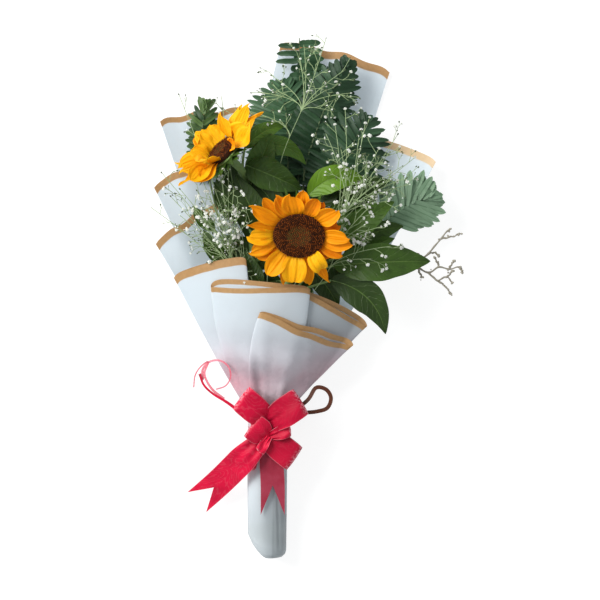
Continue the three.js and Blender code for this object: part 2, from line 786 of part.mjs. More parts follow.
// A leaf with its stalk, which starts inside the stem, and runs over its foot and middle to its tip. It is
// folded along its rib and waved at its edges.
function leaf({ foot, middle, tip, width }, start, phase) {
  const control = vector(middle).multiplyScalar(2).addScaledVector(vector(foot), -0.5);
  control.addScaledVector(vector(tip), -0.5);
  const rib = new THREE.QuadraticBezierCurve3(vector(foot), control, vector(tip));
  const into = rib.getTangent(0);
  const elbow = start.clone().lerp(vector(foot), 0.6).addScaledVector(into, -3);
  const stalk = new THREE.QuadraticBezierCurve3(start, elbow, vector(foot));
  const stalkRows = 2;
  const rows = 8;
  const stalkShare = stalkRows / rows;
  const thick = (v) => (v < stalkShare + 0.01 ? LEAF.stalkThick : LEAF.thick);
  return blade(width > LEAF.wide ? 4 : 2, rows, thick, (u, v) => {
    const onStalk = v < stalkShare;
    const share = onStalk ? v / stalkShare : (v - stalkShare) / (1 - stalkShare);
    const curve = onStalk ? stalk : rib;
    const least = LEAF.stalkHalf * (onStalk ? 1 : 1 - share);
    const half = onStalk ? least : Math.max((width / 2) * leafOutline(share), least);
    const tangent = curve.getTangent(share);
    const side = tangent.clone().cross(UP).normalize();
    const normal = side.clone().cross(tangent);
    const wave = LEAF.wave * half * Math.sin(3 * PI * share + phase + (u > 0 ? 1.3 : 0)) * u * u;
    const fold = onStalk ? 0 : LEAF.fold * half * Math.abs(u) + wave;
    return curve.getPoint(share).addScaledVector(side, half * u).addScaledVector(normal, fold);
  });
}

function leafyStem(stem, head) {
  const place = headFrame(head);
  const curve = stemCurve(stem.slot, [...stem.way.map(vector), place(0, 0, -32), place(0, 0, -12.5)]);
  const leaves = stem.leaves.map((item, i) => leaf(item, curve.getPointAt(item.from), 1.7 * i));
  return fused([stemRod(curve, 7, 12, STEM_RADIUS, STEM_RADIUS * 0.86), ...leaves, receptacle(head)]);
}

// Fern fronds

// One frond's outline in the plane: leaflets in pairs cut to the rib, longest below the middle.
function frondOutline(fern, length) {
  const rib = FROND.ribHalf;
  const pitch = length / (fern.pairs + 1);
  const slope = Math.tan(degToRad(fern.lean));
  const half = Math.min(fern.width, pitch - FROND.gap) / 2;
  const right = [];
  for (let i = 0; i < fern.pairs; i += 1) {
    const share = i / (fern.pairs - 1);
    const reach = fern.leaflet * lerp(FROND.least, 1, Math.sin(PI * (0.3 + 0.66 * share)));
    const y = (i + 0.6) * pitch;
    right.push([rib, y - pitch / 2]);
    right.push([rib + reach * 0.3, y + reach * 0.3 * slope - half]);
    right.push([rib + reach, y + reach * slope * 1.3]);
    right.push([rib + reach * 0.55, y + reach * 0.55 * slope + half * 0.9]);
  }
  const outline = new THREE.Shape();
  outline.moveTo(-rib, -FROND.foot);
  outline.lineTo(rib, -FROND.foot);
  right.forEach(([x, y]) => outline.lineTo(x, y));
  outline.lineTo(0, length + FROND.tip);
  right.reverse().forEach(([x, y]) => outline.lineTo(-x, y));
  return outline;
}

function fernFrond(fern) {
  const ribPoints = fern.rib.map(vector);
  const rib = smoothCurve(ribPoints);
  const length = rib.getLength();
  const outline = new THREE.ExtrudeGeometry(frondOutline(fern, length), {
    depth: 1,
    steps: 1,
    bevelEnabled: false,
  });
  const frond = bend(outline, (x, y, z) => {
    const share = clamp(y / length, 0, 1);
    const tangent = rib.getTangentAt(share);
    const side = tangent.clone().cross(UP).normalize();
    const normal = side.clone().cross(tangent);
    const thick = Math.abs(x) < FROND.ribHalf + 0.1 ? FROND.ribThick : FROND.thick;
    const droop = FROND.droop * Math.abs(x) ** 1.5;
    return rib
      .getPointAt(share)
      .addScaledVector(tangent, y - share * length)
      .addScaledVector(side, x)
      .addScaledVector(normal, (z - 0.5) * thick - droop);
  });
  const stalk = stemCurve(fern.slot, [...fern.stalk.map(vector), ribPoints[0]]);
  return fused([stemRod(stalk, 4, 10, FERN_STALK_RADIUS, FERN_STALK_RADIUS), frond]);
}

// Sprays: a main stem, branches that leave it on the way to their tips, and blossoms in clusters

// The share of a stem's length where each of its rings is, after its straight run in the handle.
function ringShares(curve, steps) {
  const straight = (NECK_LOW_Y - STEM_CUT_Y) / curve.getLength();
  return Array.from({ length: steps + 1 }, (_, i) => lerp(straight, 1, i / steps));
}

// The branch to a tip leaves the stem at the ring from which it parts at about 45 degrees.
function branchCurve(curve, shares, tip) {
  const gaps = shares.map((share) => curve.getPointAt(share).distanceTo(tip));
  const nearest = gaps.indexOf(Math.min(...gaps));
  const wanted = shares[nearest] - (0.7 * gaps[nearest]) / curve.getLength();
  const free = shares.slice(-5);
  const off = (share) => Math.abs(share - wanted);
  const at = free.reduce((best, share) => (off(share) < off(best) ? share : best));
  const start = curve.getPointAt(at);
  const control = start.clone().addScaledVector(curve.getTangentAt(at), 0.45 * start.distanceTo(tip));
  return new THREE.QuadraticBezierCurve3(start, control, tip);
}

// A thin branch with its root sunk in what carries it, which ends in a blossom.
function blossomBranch(curve, steps) {
  const length = curve.getLength();
  const neck = 1 - (2 * BLOSSOM_RADIUS) / length;
  const rings = [[0, BRANCH_RADIUS * 0.3]];
  for (let i = 1; i <= steps; i += 1) {
    rings.push([(neck * i) / steps, BRANCH_RADIUS]);
  }
  rings.push([1 - BLOSSOM_RADIUS / length, BLOSSOM_RADIUS], [1, 0.5]);
  return rod(curve, 3, rings);
}

function spray({ slot, way, tips, seed }) {
  const random = seeded(seed);
  const curve = stemCurve(slot, way.map(vector));
  const steps = 12;
  const shares = ringShares(curve, steps);
  const parts = [stemRod(curve, 3, steps, SPRAY_RADIUS, BRANCH_RADIUS)];
  tips.map(vector).forEach((tip) => {
    const branch = branchCurve(curve, shares, tip);
    parts.push(blossomBranch(branch, 2));
    const neck = 1 - (2 * BLOSSOM_RADIUS) / branch.getLength();
    const turn = 2 * PI * random();
    for (let i = 0; i < 2; i += 1) {
      const fork = branch.getPointAt((neck * (i + 1)) / 2);
      const angle = turn + i * (2 + random());
      const sideways = vector([Math.cos(angle), Math.sin(angle), 0.5 * (random() - 0.3)]);
      const end = fork.clone().lerp(tip, 0.75).addScaledVector(sideways, 8 + 4 * random());
      parts.push(blossomBranch(new THREE.LineCurve3(fork, end), 1));
    }
  });
  return fused(parts);
}

function twig({ slot, way, tips, radius, seed }) {
  const random = seeded(seed);
  const curve = stemCurve(slot, way.map(vector));
  const steps = 12;
  const shares = ringShares(curve, steps);
  const parts = [stemRod(curve, 4, steps, radius, radius * 0.7)];
  tips.map(vector).forEach((tip) => {
    const branch = branchCurve(curve, shares, tip);
    const thin = radius * 0.6;
    parts.push(rod(branch, 3, [[0, 0.3 * thin], [0.35, thin], [0.7, thin], [1, thin * 0.8]]));
    const from = branch.getPointAt(0.7);
    const turn = 2 * PI * random();
    const end = from.clone().add(vector([7 * Math.cos(turn), 7 * Math.sin(turn), 2 * random()]));
    const twiglet = new THREE.LineCurve3(from, end);
    parts.push(rod(twiglet, 3, [[0, 0.3 * thin], [0.4, thin * 0.8], [1, thin * 1.2]]));
  });
  return fused(parts);
}

// The ribbon

function band() {
  return ring(BAND.low, BAND.high, (angle, isOuter) => {
    const inside = BAND.gap + (isOuter ? BAND.thick : 0);
    return [
      (HANDLE.neckWide + inside) * Math.cos(angle),
      (HANDLE.neckTall + inside) * Math.sin(angle),
    ];
  });
}

// A loop of ribbon: out from the knot along its lower run, round its end and back along the upper run.
function bowLoop({ end, low, high, foot }) {
  const knot = vector(KNOT.at);
  const out = vector([end[0] - knot.x, end[1] - knot.y, 0]);
  const reach = out.length();
  out.normalize();
  const across = out.clone().cross(UP);
  const side = smoothCurve(
    [
      [0, foot],
      [0.45 * reach, lerp(foot, low, 0.55)],
      [0.85 * reach, low - 1],
      [reach, (low + high) / 2],
      [0.85 * reach, high],
      [0.45 * reach, lerp(foot + 5, high, 0.75)],
      [0, foot + 4],
    ].map(([d, z]) => vector([d, 0, z])),
  );
  return blade(2, 8, RIBBON.thick, (u, v) => {
    const spot = side.getPoint(v);
    const half = lerp(RIBBON.pinch, RIBBON.width, ease(spot.x / (0.7 * reach))) / 2;
    const sag = 1.5 * u * u * (spot.x / reach);
    return vector([knot.x, knot.y, 0])
      .addScaledVector(out, spot.x + 2 * (1 - u * u) * (spot.x / reach))
      .addScaledVector(across, half * u)
      .setZ(spot.z - (v > 0.5 ? sag : -sag * 0.3));
  });
}

function tail({ way, notch }) {
  const curve = smoothCurve(way.map(vector));
  const length = curve.getLength();
  return blade(2, 6, RIBBON.thick, (u, v) => {
    const reach = v * (length - notch * (1 - Math.abs(u)));
    const share = clamp(reach / length, 0, 1);
    const tangent = curve.getTangentAt(share);
    const across = tangent.clone().cross(UP).normalize();
    const half = lerp(RIBBON.pinch, RIBBON.width, ease(share / 0.35)) / 2;
    return curve.getPointAt(share).addScaledVector(across, half * u);
  });
}

// A thin pull ribbon, standing on its edge as it curls.
function pullRibbon(points, rows) {
  const curve = smoothCurve(points.map(vector));
  return blade(1, rows, RIBBON.pullThick, (u, v) =>
    curve.getPointAt(v).add(vector([0, 0, (u * RIBBON.pullWidth) / 2])),
  );
}

function curlPoints({ centre, radius, start, turn, lift }) {
  const points = [];
  const steps = 7;
  for (let i = 0; i <= steps; i += 1) {
    const angle = degToRad(start + (turn * i) / steps);
    points.push([
      centre[0] + radius * Math.cos(angle),
      centre[1] + radius * Math.sin(angle),
      centre[2] + (lift * i) / steps,
    ]);
  }
  return points;
}

function bow() {
  const knot = bend(new THREE.SphereGeometry(1, 8, 5), (x, y, z) =>
    vector([x * KNOT.size[0], z * KNOT.size[1], y * KNOT.size[2]]).add(vector(KNOT.at)),
  );
  const leftPull = pullRibbon([...PULLS.left, ...curlPoints(PULLS.leftCurl)], 12);
  const rightPull = pullRibbon(PULLS.right, 8);
  return fused([band(), knot, leftPull, rightPull, ...LOOPS.map(bowLoop), ...TAILS.map(tail)]);
}

// The bunch

const bunch = new THREE.Group();

function add(name, finish, body) {
  const { vertProperties, triVerts } = body.getMesh();
  const geometry = new THREE.BufferGeometry();
  geometry.setAttribute("position", new THREE.BufferAttribute(vertProperties, 3));
  geometry.setIndex(new THREE.BufferAttribute(triVerts, 1));
  geometry.computeVertexNormals();
  const mesh = new THREE.Mesh(geometry, new THREE.MeshStandardMaterial(FINISH[finish]));
  mesh.name = name;
  bunch.add(mesh);
}

add("paper_handle", "paper", handle());
add("binding_tape", "tape", binding());
POCKETS.forEach((lobe) => add(lobe.name, "paper", pocket(lobe)));
SHEETS.forEach((lobe) => add(lobe.name, "paper", sheet(lobe)));
HEADS.forEach((head, i) => {
  add(STEMS[i].name, "leaf", leafyStem(STEMS[i], head));
  add(`${head.name}_petals`, "petal", petalRing(head));
  add(`${head.name}_disc`, "disc", disc(head));
});
FERNS.forEach((fern) => add(fern.name, "fern", fernFrond(fern)));
SPRAYS.forEach((item) => add(item.name, "gypsophila", spray(item)));
add(TWIG.name, "twig", twig(TWIG));
add("ribbon_bow", "ribbon", bow());

export default bunch;
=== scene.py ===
"""A hand-tied bunch of sunflowers lying on its back: two heads on leafy stems, fern, baby's breath and a dry
twig, in frosted paper with a printed border, a rolled handle and a ribbon bow. +Z is up and +Y runs from the
handle towards the flowers. Lengths are in metres, except in the tables, which hold millimetres."""

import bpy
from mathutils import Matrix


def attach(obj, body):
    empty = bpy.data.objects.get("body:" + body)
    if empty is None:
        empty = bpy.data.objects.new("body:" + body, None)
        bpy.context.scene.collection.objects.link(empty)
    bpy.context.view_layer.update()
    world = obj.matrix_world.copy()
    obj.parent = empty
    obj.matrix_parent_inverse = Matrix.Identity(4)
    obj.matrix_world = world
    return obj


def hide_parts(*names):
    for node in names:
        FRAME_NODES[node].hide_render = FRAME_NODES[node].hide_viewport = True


bl_info = {
    "name": "Sunflower bunch",
    "version": (1, 0, 0),
    "blender": (4, 5, 0),
    "location": "View3D > Sidebar > Bunch",
    "description": "Dresses the frame of a wrapped bunch of sunflowers",
    "category": "Object",
}

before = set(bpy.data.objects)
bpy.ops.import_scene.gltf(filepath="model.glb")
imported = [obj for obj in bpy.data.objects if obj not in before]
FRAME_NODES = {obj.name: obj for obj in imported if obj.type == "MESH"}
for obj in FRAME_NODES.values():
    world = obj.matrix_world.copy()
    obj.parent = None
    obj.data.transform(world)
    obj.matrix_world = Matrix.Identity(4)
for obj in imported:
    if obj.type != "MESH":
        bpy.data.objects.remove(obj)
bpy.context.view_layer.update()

import math

import bpy
import numpy as np

UP = np.array([0.0, 0.0, 1.0])
FULL_TURN = 2 * math.pi
GOLDEN_TURN = math.pi * (3 - math.sqrt(5))

# The tie: where the stems are bound side by side inside the handle
TIE_X, TIE_Z = -0.0454, 0.01975
STEM_CUT_Y, NECK_LOW_Y, NECK_HIGH_Y = -0.274, -0.165, -0.139

# The wrap: how high its front stands over the stems, and how its back lies on the surface
WRAP_START_Y = -0.136
WRAP_LENGTH = 0.155
FRONT_SIDE, FRONT_RISE, FRONT_NECK_HALF, FRONT_SPREAD, FRONT_DRIFT = 0.0273, 0.0427, 0.021, 0.102, 0.009
STRIP_START_Y, STRIP_SHARE = -0.158, 0.1
UNDER_EDGE_X, UNDER_EDGE_SHADE = 0.0005, 0.2
POCKET_NECK_THICK, POCKET_RIM_THICK, POCKET_WALL = 0.0016, 0.006, 0.00045
POCKET_LIFT = [(0.0013, 0.0032), (0.0035, 0.0105), (0.0057, 0.0185)]
POCKET_LENGTH = (0.19, 0.19, 0.16)
BACK_NECK_Z = (0.007, 0.0084, 0.0098, 0.0112)
BACK_STEP, BACK_REST = 0.0024, 0.0004
CORNER_ROUND = 0.0034
TROUGH_START_Y, TROUGH_FLAT = -0.145, 0.3
TROUGH_LEFT = dict(rise=0.02, neck_x=-0.066, far_x=-0.169, run=0.209)
TROUGH_RIGHT = dict(rise=0.018, neck_x=-0.025, far_x=0.143, run=0.301)
TROUGH_MIDDLE_X, TROUGH_MIDDLE_RUN = 0.006, 0.425
BORDER_WIDE = 0.0085
HANDLE_WALL, HANDLE_SLANT, HANDLE_CUT, HANDLE_FULL = 0.0005, 0.12, 0.019, 0.0014
HANDLE_END_Y, HANDLE_FOLD_Y = -0.289, -0.22

# The flowers and greenery: discs, stems, and how the frond torn on its left shortens there along its rib
DISC_DEPTH, DISC_RIM, DISC_DOME, DISC_HOLLOW, DISC_HOLLOW_SHARE = 0.0026, 0.0016, 0.0036, 0.0026, 0.4
STEM_RADIUS, TWIG_RADIUS, FERN_STALK_RADIUS = 0.005, 0.0015, 0.0011
FERN_TIP_LEAN = 44
FERN_FAN = [(-1, 54, 0.82), (1, 52, 0.82), (-1, 70, 0.66), (1, 72, 0.66), (1, 88, 0.58)]
TORN_SHARES = [0.64, 0.68, 0.82, 0.84, 1.0]
TORN_LENGTHS = [1.0, 0.4, 0.35, 1.0, 1.0]
TORN_WIDTHS = [1.0, 1.0, 1.0, 0.72, 0.72]

# The ribbon: a band round the neck, and the knot
BAND_LOW_Y, BAND_HIGH_Y = -0.16, -0.138
BAND_HALF = (0.0212, 0.0187)
KNOT = np.array([-0.0435, -0.15, 0.0445])
RIBBON_WIDTH, RIBBON_PINCH = 0.031, 0.02

# Tables. Values under these names are lengths in millimetres.
LENGTHS = """border bow wave left right part centre disc length width slot way leaflet stalk rib foot middle
tip tips start end low high notch broad narrow""".split()


def table(keys, *rows):
    """Each row as a dict with its lengths in metres. Values left out at the end of a row are 0."""
    names = keys.split()
    made = []
    for row in rows:
        values = dict(zip(names, row + (0,) * (len(names) - len(row))))
        for name in values.keys() & set(LENGTHS):
            values[name] = np.array(values[name]) / 1000
        made.append(values)
    return made


# Every lobe of the wrap: two edges, each from the neck over a middle point to the rim's corner. A pocket's
# mouth parts by "part" at its left and right end, and a sheet's rim waves by "wave".
LOBE_KEYS = "name level border bow wave left right"
POCKETS = table(
    LOBE_KEYS + " part shade",
    ("paper_front_left", 0, 8, 3, 0, [(-60, -135), (-104, -68), (-148, 26)],
     [(-46.2, -135), (-58, -55), (-67, 46)], (1.5, 1), (0, 0.08)),
    ("paper_front_right", 0, 5.8, 2, 0, [(-44.6, -135), (-30, -65), (-3, 8)],
     [(-31, -135), (20, -82), (66, -28)], (4, 9.5), (0.25, 0.34)),
    ("paper_front_middle", 1, 5.8, 0, 0, [(-57, -135), (-103, -70), (-106, 17)],
     [(-34, -135), (-1, -60), (3, 13)], (12.5, 3.5), (0, 0.1)),
    ("paper_front_top", 2, 6.6, -3, 1, [(-54, -135), (-76, -80), (-52, -12)],
     [(-37, -135), (6, -98), (50, -49)], (3, 12.5), (0.05, 0.1)),
)
SHEETS = table(
    LOBE_KEYS + " faded",
    ("paper_back_middle", 0, 8.8, 4, 2, [(-55.2, -135), (-85, 70), (-29.5, 290)],
     [(-35.6, -135), (74, 191), (92.5, 257.5)]),
    ("paper_back_left", 1, 6.5, 2, -2.5, [(-57.4, -135), (-110, 30), (-164.5, 201)],
     [(-46, -135), (-60, 40), (-60, 215)]),
    ("paper_back_right", 1, 8.5, 3, 0, [(-44.8, -135), (0, 30), (47, 189)],
     [(-33.4, -135), (70, 5), (143.5, 156)], 0.8),
    ("paper_side_left", 2, 7.8, 3, 2, [(-57.4, -135), (-112, -5), (-171, 127)],
     [(-33.4, -135), (-60, 20), (-85, 168)]),
    ("paper_side_left_low", 3, 8.2, 2, 2, [(-57.4, -135), (-115, -35), (-169, 64)],
     [(-33.4, -135), (-50, -10), (-95, 112)]),
)

# The handle's outline from its closed end to its mouth: share of the oval, y, half width and half height
HANDLE_ROWS = np.array([
    (0.03, -288.8, 20.3, 19.5), (0.55, -288.6, 20.3, 19.5), (0.8, -287.2, 20.3, 19.5),
    (0.94, -284, 20.3, 19.5), (1, -278, 20.5, 19.5), (1, -250, 20.8, 19.6), (1, -200, 21.3, 19.6),
    (1, -170, 21.5, 19.5), (1, -160, 20.2, 17.7), (1, -150, 19.9, 17.4), (1, -138, 19.9, 17.4),
]) / (1, 1000, 1000, 1000)

# The flower heads: centre, the way they face, and a direction in the plane of their petals. A petal's angles
# are in degrees: where it grows, its tilt, how it curls and how it rolls; "back" is its layer. Its tone,
# orange
# to yellow, holds painted light too: petals that face the light are yellower, and those in the back layers
# darker.
PETAL_KEYS = "angle length width tilt curl point tone back roll"
HEADS = table(
    "name centre facing across disc oval wild florets bracts seed petals",
    ("sunflower_right", (-9.4, 67.7, 106), (-0.05, -0.33, 0.943), (0.998, 0, 0.053), 28, 0.87, 1.5, 620,
     17, 11,
     table(
        PETAL_KEYS,
        (99, 25.5, 24.5, 22, 14, 0.34, 0.5), (85, 27.5, 17.5, 15, 10, 0.5, 0.35, 1),
        (66, 22.5, 17.5, 15, 0, 0.3, 0.25), (38, 27.5, 21.5, 21, 12, 0.38, 0.5),
        (15, 18, 15, 4, 4, 0.5, 0.1, 1), (0, 27, 16.5, 18, 12, 0.42, 0.5),
        (-12, 31, 18.5, 11, 6, 0.68, 0.4), (-25, 24.5, 16.5, 5, 8, 0.5, 0.2, 1),
        (-54, 24, 19, 58, 120, 0.33, 1.1), (-60, 41, 11.5, -6, 14, 0.85, 0.4, 1),
        (-77, 33, 15.5, 6, 18, 0.6, 0.65, 1), (-99, 29, 27.5, 34, 56, 0.3, 0.85),
        (-111, 34, 15, 4, 10, 0.65, 0.5, 1), (-131, 30, 22, 21, 24, 0.55, 0.7),
        (-150, 26, 17.5, 4, 8, 0.5, 0.4, 1), (-165, 29.5, 18.5, 15, 16, 0.5, 0.6),
        (180, 28.5, 18.5, 24, 28, 0.36, 0.85), (163, 34, 10.5, 18, -25, 0.9, 0.5, 0, 20),
        (147, 37.5, 16.5, 16, 4, 0.55, 0.45), (134, 31, 15.5, 13, 6, 0.5, 0.3, 1),
        (120, 27.5, 14.5, 14, 8, 0.5, 0.25), (112, 21, 16, 3, 4, 0.5, 0.05, 2), (53, 19, 14, 0, 4, 0.5, 0, 2),
        (24, 19, 15, 0, 4, 0.5, 0, 2), (-38, 17, 16, -2, 8, 0.5, 0.05, 2), (-87, 24, 16, -2, 8, 0.5, 0.3, 2),
        (-119, 26, 16, -2, 8, 0.5, 0.2, 2), (-173, 23, 16, -2, 6, 0.5, 0.1, 2),
        (156, 24, 14, -2, 6, 0.5, 0.1, 2),
     )),
    ("sunflower_left", (-93.5, 160.5, 84), (-0.66, 0.621, 0.42), (0.685, 0.729, 0), 18.5, 1, 2.2, 340, 15, 23,
     table(
        PETAL_KEYS,
        (-3, 43, 15.5, 26, 8, 0.75, 1.1, 0, 42), (10, 38.5, 16.5, 31, 8, 0.45, 1.1, 0, 35),
        (-17, 44, 13.5, 14, 30, 0.7, 0.75, 0, 40), (-40, 41.5, 29.5, 24, 14, 0.4, 1.05, 0, 54),
        (14, 31, 15.5, 64, 4, 0.62, 0.9, 0, 30), (66, 24, 21, 58, -8, 0.36, 1.1),
        (84, 25, 23, 62, -6, 0.36, 1.1), (97, 31, 18, 54, 10, 0.75, 1.1),
        (113, 26, 22, 68, -8, 0.4, 1.1, 0, -10), (75, 23, 16, 50, 6, 0.5, 0.5, 1, 10),
        (104, 27, 20, 52, 6, 0.5, 0.6, 1),
        (131, 21, 15, 60, 8, 0.5, 0.9, 1, -15), (147, 23, 20, 74, 10, 0.36, 1.1, 0, -22),
        (165, 36, 19, 50, 18, 0.42, 1.2, 0, -36), (177, 36, 21, 43, 12, 0.45, 1.2, 0, -40),
        (191, 41, 17.5, 37, 6, 0.5, 1.1, 0, -46), (203, 36, 21, 26, 14, 0.4, 1, 0, -52),
        (196, 50, 12.5, 25, 4, 0.8, 0.9, 1, -45), (212, 32, 17, 16, 10, 0.5, 0.75, 1, -50),
        (223, 28, 26, 62, 42, 0.36, 1.2, 0, -28), (-60, 22, 14, 40, 20, 0.6, 0.6, 1, 40),
     )),
)

# Leafy stems: the slot at the tie, the way up to the head, and the leaves, each with the share of the stem
# where it leaves it and how bright it is, which is partly its own green and partly painted light and shade
LEAF_KEYS = "foot middle tip width leaves_at tone"
STEMS = table(
    "name slot way leaves",
    ("leafy_stem_right", (5.2, 0), [(-36, -70, 34), (-26, 0, 50), (-15, 46, 60)], table(
        LEAF_KEYS,
        ((29, 36, 64), (85, 40, 72), (135, 41, 60), 47, 0.79, 0.3),
        ((26, 20, 62), (66, 0, 66), (86, -39, 56), 41, 0.73, 0.05),
        ((40, 47, 56), (68, 58, 60), (96, 66, 56), 24, 0.8, 0.35),
        ((41, 64, 66), (66, 88, 72), (95, 106, 70), 33, 0.84, 0.5),
        ((2, 113, 68), (30, 132, 73), (65, 127, 67), 34, 0.88, 0.88),
        ((-50, 15, 60), (-60, 32, 62), (-68, 53, 58), 20, 0.66, 0.15),
        ((-32, 85, 62), (-42, 110, 66), (-62, 130, 60), 34, 0.8, 0.05),
        ((-30, 50, 50), (-55, 75, 52), (-82, 98, 48), 36, 0.72, 0.02),
        ((6, 30, 50), (22, 12, 50), (34, -10, 44), 30, 0.7, 0.02),
        ((12, 45, 50), (34, 32, 52), (58, 12, 47), 30, 0.76, 0.02),
        ((-45, 80, 50), (-56, 105, 52), (-67, 134, 47), 30, 0.78, 0.06),
        ((-40, 36, 45), (-64, 52, 47), (-90, 70, 42), 34, 0.7, 0.1),
        ((-18, 36, 46), (-8, 18, 47), (6, -2, 42), 32, 0.7, 0.02),
        ((18, 72, 50), (45, 93, 52), (77, 116, 47), 42, 0.82, 0.3),
        ((28, 100, 49), (58, 118, 50), (92, 131, 45), 34, 0.86, 0.12),
        ((50, 64, 50), (77, 74, 52), (106, 80, 47), 28, 0.82, 0.25),
        ((-30, 20, 46), (-48, 16, 47), (-64, 6, 43), 28, 0.66, 0.02),
        ((10, 100, 55), (22, 125, 57), (30, 152, 52), 36, 0.86, 0.04),
        ((28, 60, 48), (55, 75, 50), (85, 85, 46), 34, 0.8, 0.06),
    )),
    ("leafy_stem_left", (-5.2, 0), [(-54, -70, 31), (-58, 10, 44), (-62, 80, 52), (-67, 120, 57)], table(
        LEAF_KEYS,
        ((-67, 146, 66), (-38, 134, 72), (-6, 120, 58), 40, 0.93, 0.2),
        ((-63, 157, 58), (-30, 168, 58), (-2, 148, 54), 26, 0.92, 0.45),
        ((-69, 166, 52), (-48, 184, 52), (-26, 190, 50), 24, 0.95, 0.6),
        ((-47, 74, 64), (-64, 103, 74), (-79, 137, 71), 37, 0.7, 0.06),
        ((-60, 85, 60), (-80, 103, 66), (-103, 128, 63), 30, 0.72, 0.1),
        ((-94, 40, 46), (-105, 57, 52), (-115, 76, 48), 22, 0.6, 0.25),
        ((-103, 76, 46), (-116, 88, 52), (-127, 102, 50), 18, 0.68, 0.3),
        ((-62, 128, 58), (-50, 155, 62), (-40, 182, 56), 34, 0.88, 0.4),
        ((-75, 85, 42), (-90, 110, 44), (-100, 135, 40), 30, 0.74, 0.05),
        ((-64, 100, 45), (-80, 125, 48), (-90, 152, 44), 38, 0.78, 0.02),
        ((-70, 30, 38), (-84, 45, 40), (-94, 70, 37), 26, 0.6, 0.1),
        ((-55, 120, 50), (-30, 118, 52), (-4, 104, 48), 36, 0.88, 0.03),
    )),
)

# Fern fronds: the slot at the tie, the bare stalk, and the rib that carries the leaflets
FERNS = table(
    "name slot stalk rib pairs leaflet spread ends lean fan tone skin seed",
    ("fern_frond_left", (-11.6, -1.5), [(-62, -80, 18), (-80, 10, 20), (-97, 80, 22)],
     [(-109, 130, 22), (-113, 160, 22), (-117, 190, 23), (-114, 213, 24)],
     12, 22.5, 0.9, (0.85, 0.85), 12, True, 0.4, "young", 3),
    ("fern_frond_middle_tall", (-2.6, -6.6), [(-45, -80, 14), (-32, 10, 16), (-20, 80, 18)],
     [(-10, 125, 19), (-9, 190, 19), (-8.5, 240, 19), (-9, 291.5, 19)],
     19, 33, 1.05, (0.8, 0.72), 0, False, 0.3, "dark", 4),
    ("fern_frond_middle_left", (-7.8, -6.6), [(-52, -80, 15), (-48, 10, 19), (-38, 80, 23)],
     [(-22, 135, 25.6), (-22, 175, 26.4), (-24, 205, 26.8), (-28, 232, 26)],
     14, 53, 1.08, (0.85, 0.45), 3, True, 0.75, "dark", 5),
    ("fern_frond_middle_right", (2.6, -6.6), [(-38, -80, 16), (-18, 10, 22), (-8, 80, 28)],
     [(-3, 147, 33), (13, 195, 33), (28, 232, 33), (43, 259, 33)],
     17, 34, 1.12, (0.9, 0.5), 10, True, 0.25, "dark", 6),
    ("fern_frond_right_tall", (7.8, -6.6), [(-32, -80, 15), (-6, 10, 20), (14, 60, 26)],
     [(27, 103, 40), (38, 140, 40), (50, 170, 40), (62, 193, 40)],
     14, 47, 1.12, (0.8, 0.5), 0, True, 0.3, "dark", 7),
    ("fern_frond_right", (11.6, -1.5), [(-26, -80, 20), (20, 0, 24), (60, 60, 34)],
     [(85, 84, 46), (100, 97, 46), (118, 107, 46), (132, 114, 46)],
     8, 42, 1.5, (0.9, 0.55), 28, True, 0.85, "pale", 8),
)

# Baby's breath: the slot at the tie, the main stem, where its branches end, and the share in bloom
SPRAYS = table(
    "name slot way tips bloom parting bare shoots seed",
    ("babys_breath_left", (-10, 3.5), [(-60, -80, 36), (-72, 0, 49), (-82, 42, 56), (-90, 70, 71)],
     [(-93, 133, 92), (-107, 112, 84), (-121, 118, 80), (-80, 118, 96), (-70, 98, 92), (-100, 100, 95),
      (-115, 130, 78), (-125, 98, 76), (-86, 140, 88), (-60, 85, 88), (-110, 82, 80)],
     0.42, 0.7, 0.3, 8, 31),
    ("babys_breath_middle", (0, 2.9),
     [(-45, -80, 42), (-45, 0, 56), (-42, 60, 62), (-37, 110, 64), (-27, 158, 67), (-7.5, 204, 72)],
     [(-33.5, 228, 66), (-8, 262, 64), (-4, 279, 60), (41, 251, 64), (21, 229, 68), (-54, 227, 62),
      (-40, 246, 55), (10, 252, 62), (48, 226, 60), (-70, 208, 56), (28, 205, 66), (-30, 196, 66),
      (20.5, 287, 56)],
     0.14, 0.05, 0.62, 4, 37),
    ("babys_breath_middle_right", (5.2, 6.5),
     [(-38, -80, 43), (-22, 0, 61), (10, 50, 74), (38, 90, 82), (45, 112, 84)],
     [(77.5, 163, 88), (63, 191, 80), (41, 207, 76), (99, 180, 72), (104, 145, 74), (76, 125, 92),
      (88, 106, 84), (36, 163, 92), (55, 170, 85), (20, 180, 78), (90, 160, 78), (112, 125, 70),
      (70, 145, 90), (30, 190, 74), (118, 155, 62), (98, 128, 80)],
     0.26, 0.5, 0.45, 6, 41),
    ("babys_breath_right", (10, 3.5), [(-30, -80, 38), (-5, -10, 54), (24, 33, 76), (36, 72, 88)],
     [(22, 97, 95), (40, 95, 97), (67, 99, 92), (44, 118, 96), (62, 80, 90), (70, 43, 82), (91, 57, 80),
      (80, 78, 85)],
     0.62, 0.7, 0.45, 5, 43),
    ("babys_breath_far_left", (-5.2, 6.5), [(-53, -80, 42), (-65, 0, 56), (-75, 54, 60)],
     [(-172, 100, 66), (-150, 112, 72), (-160, 138, 72), (-140, 120, 70), (-141, 92, 58), (-118, 64, 57),
      (-143, 227, 35), (-95, 223, 50), (-80, 214, 50)],
     0.1, 0.7, 0.3, 8, 47),
)

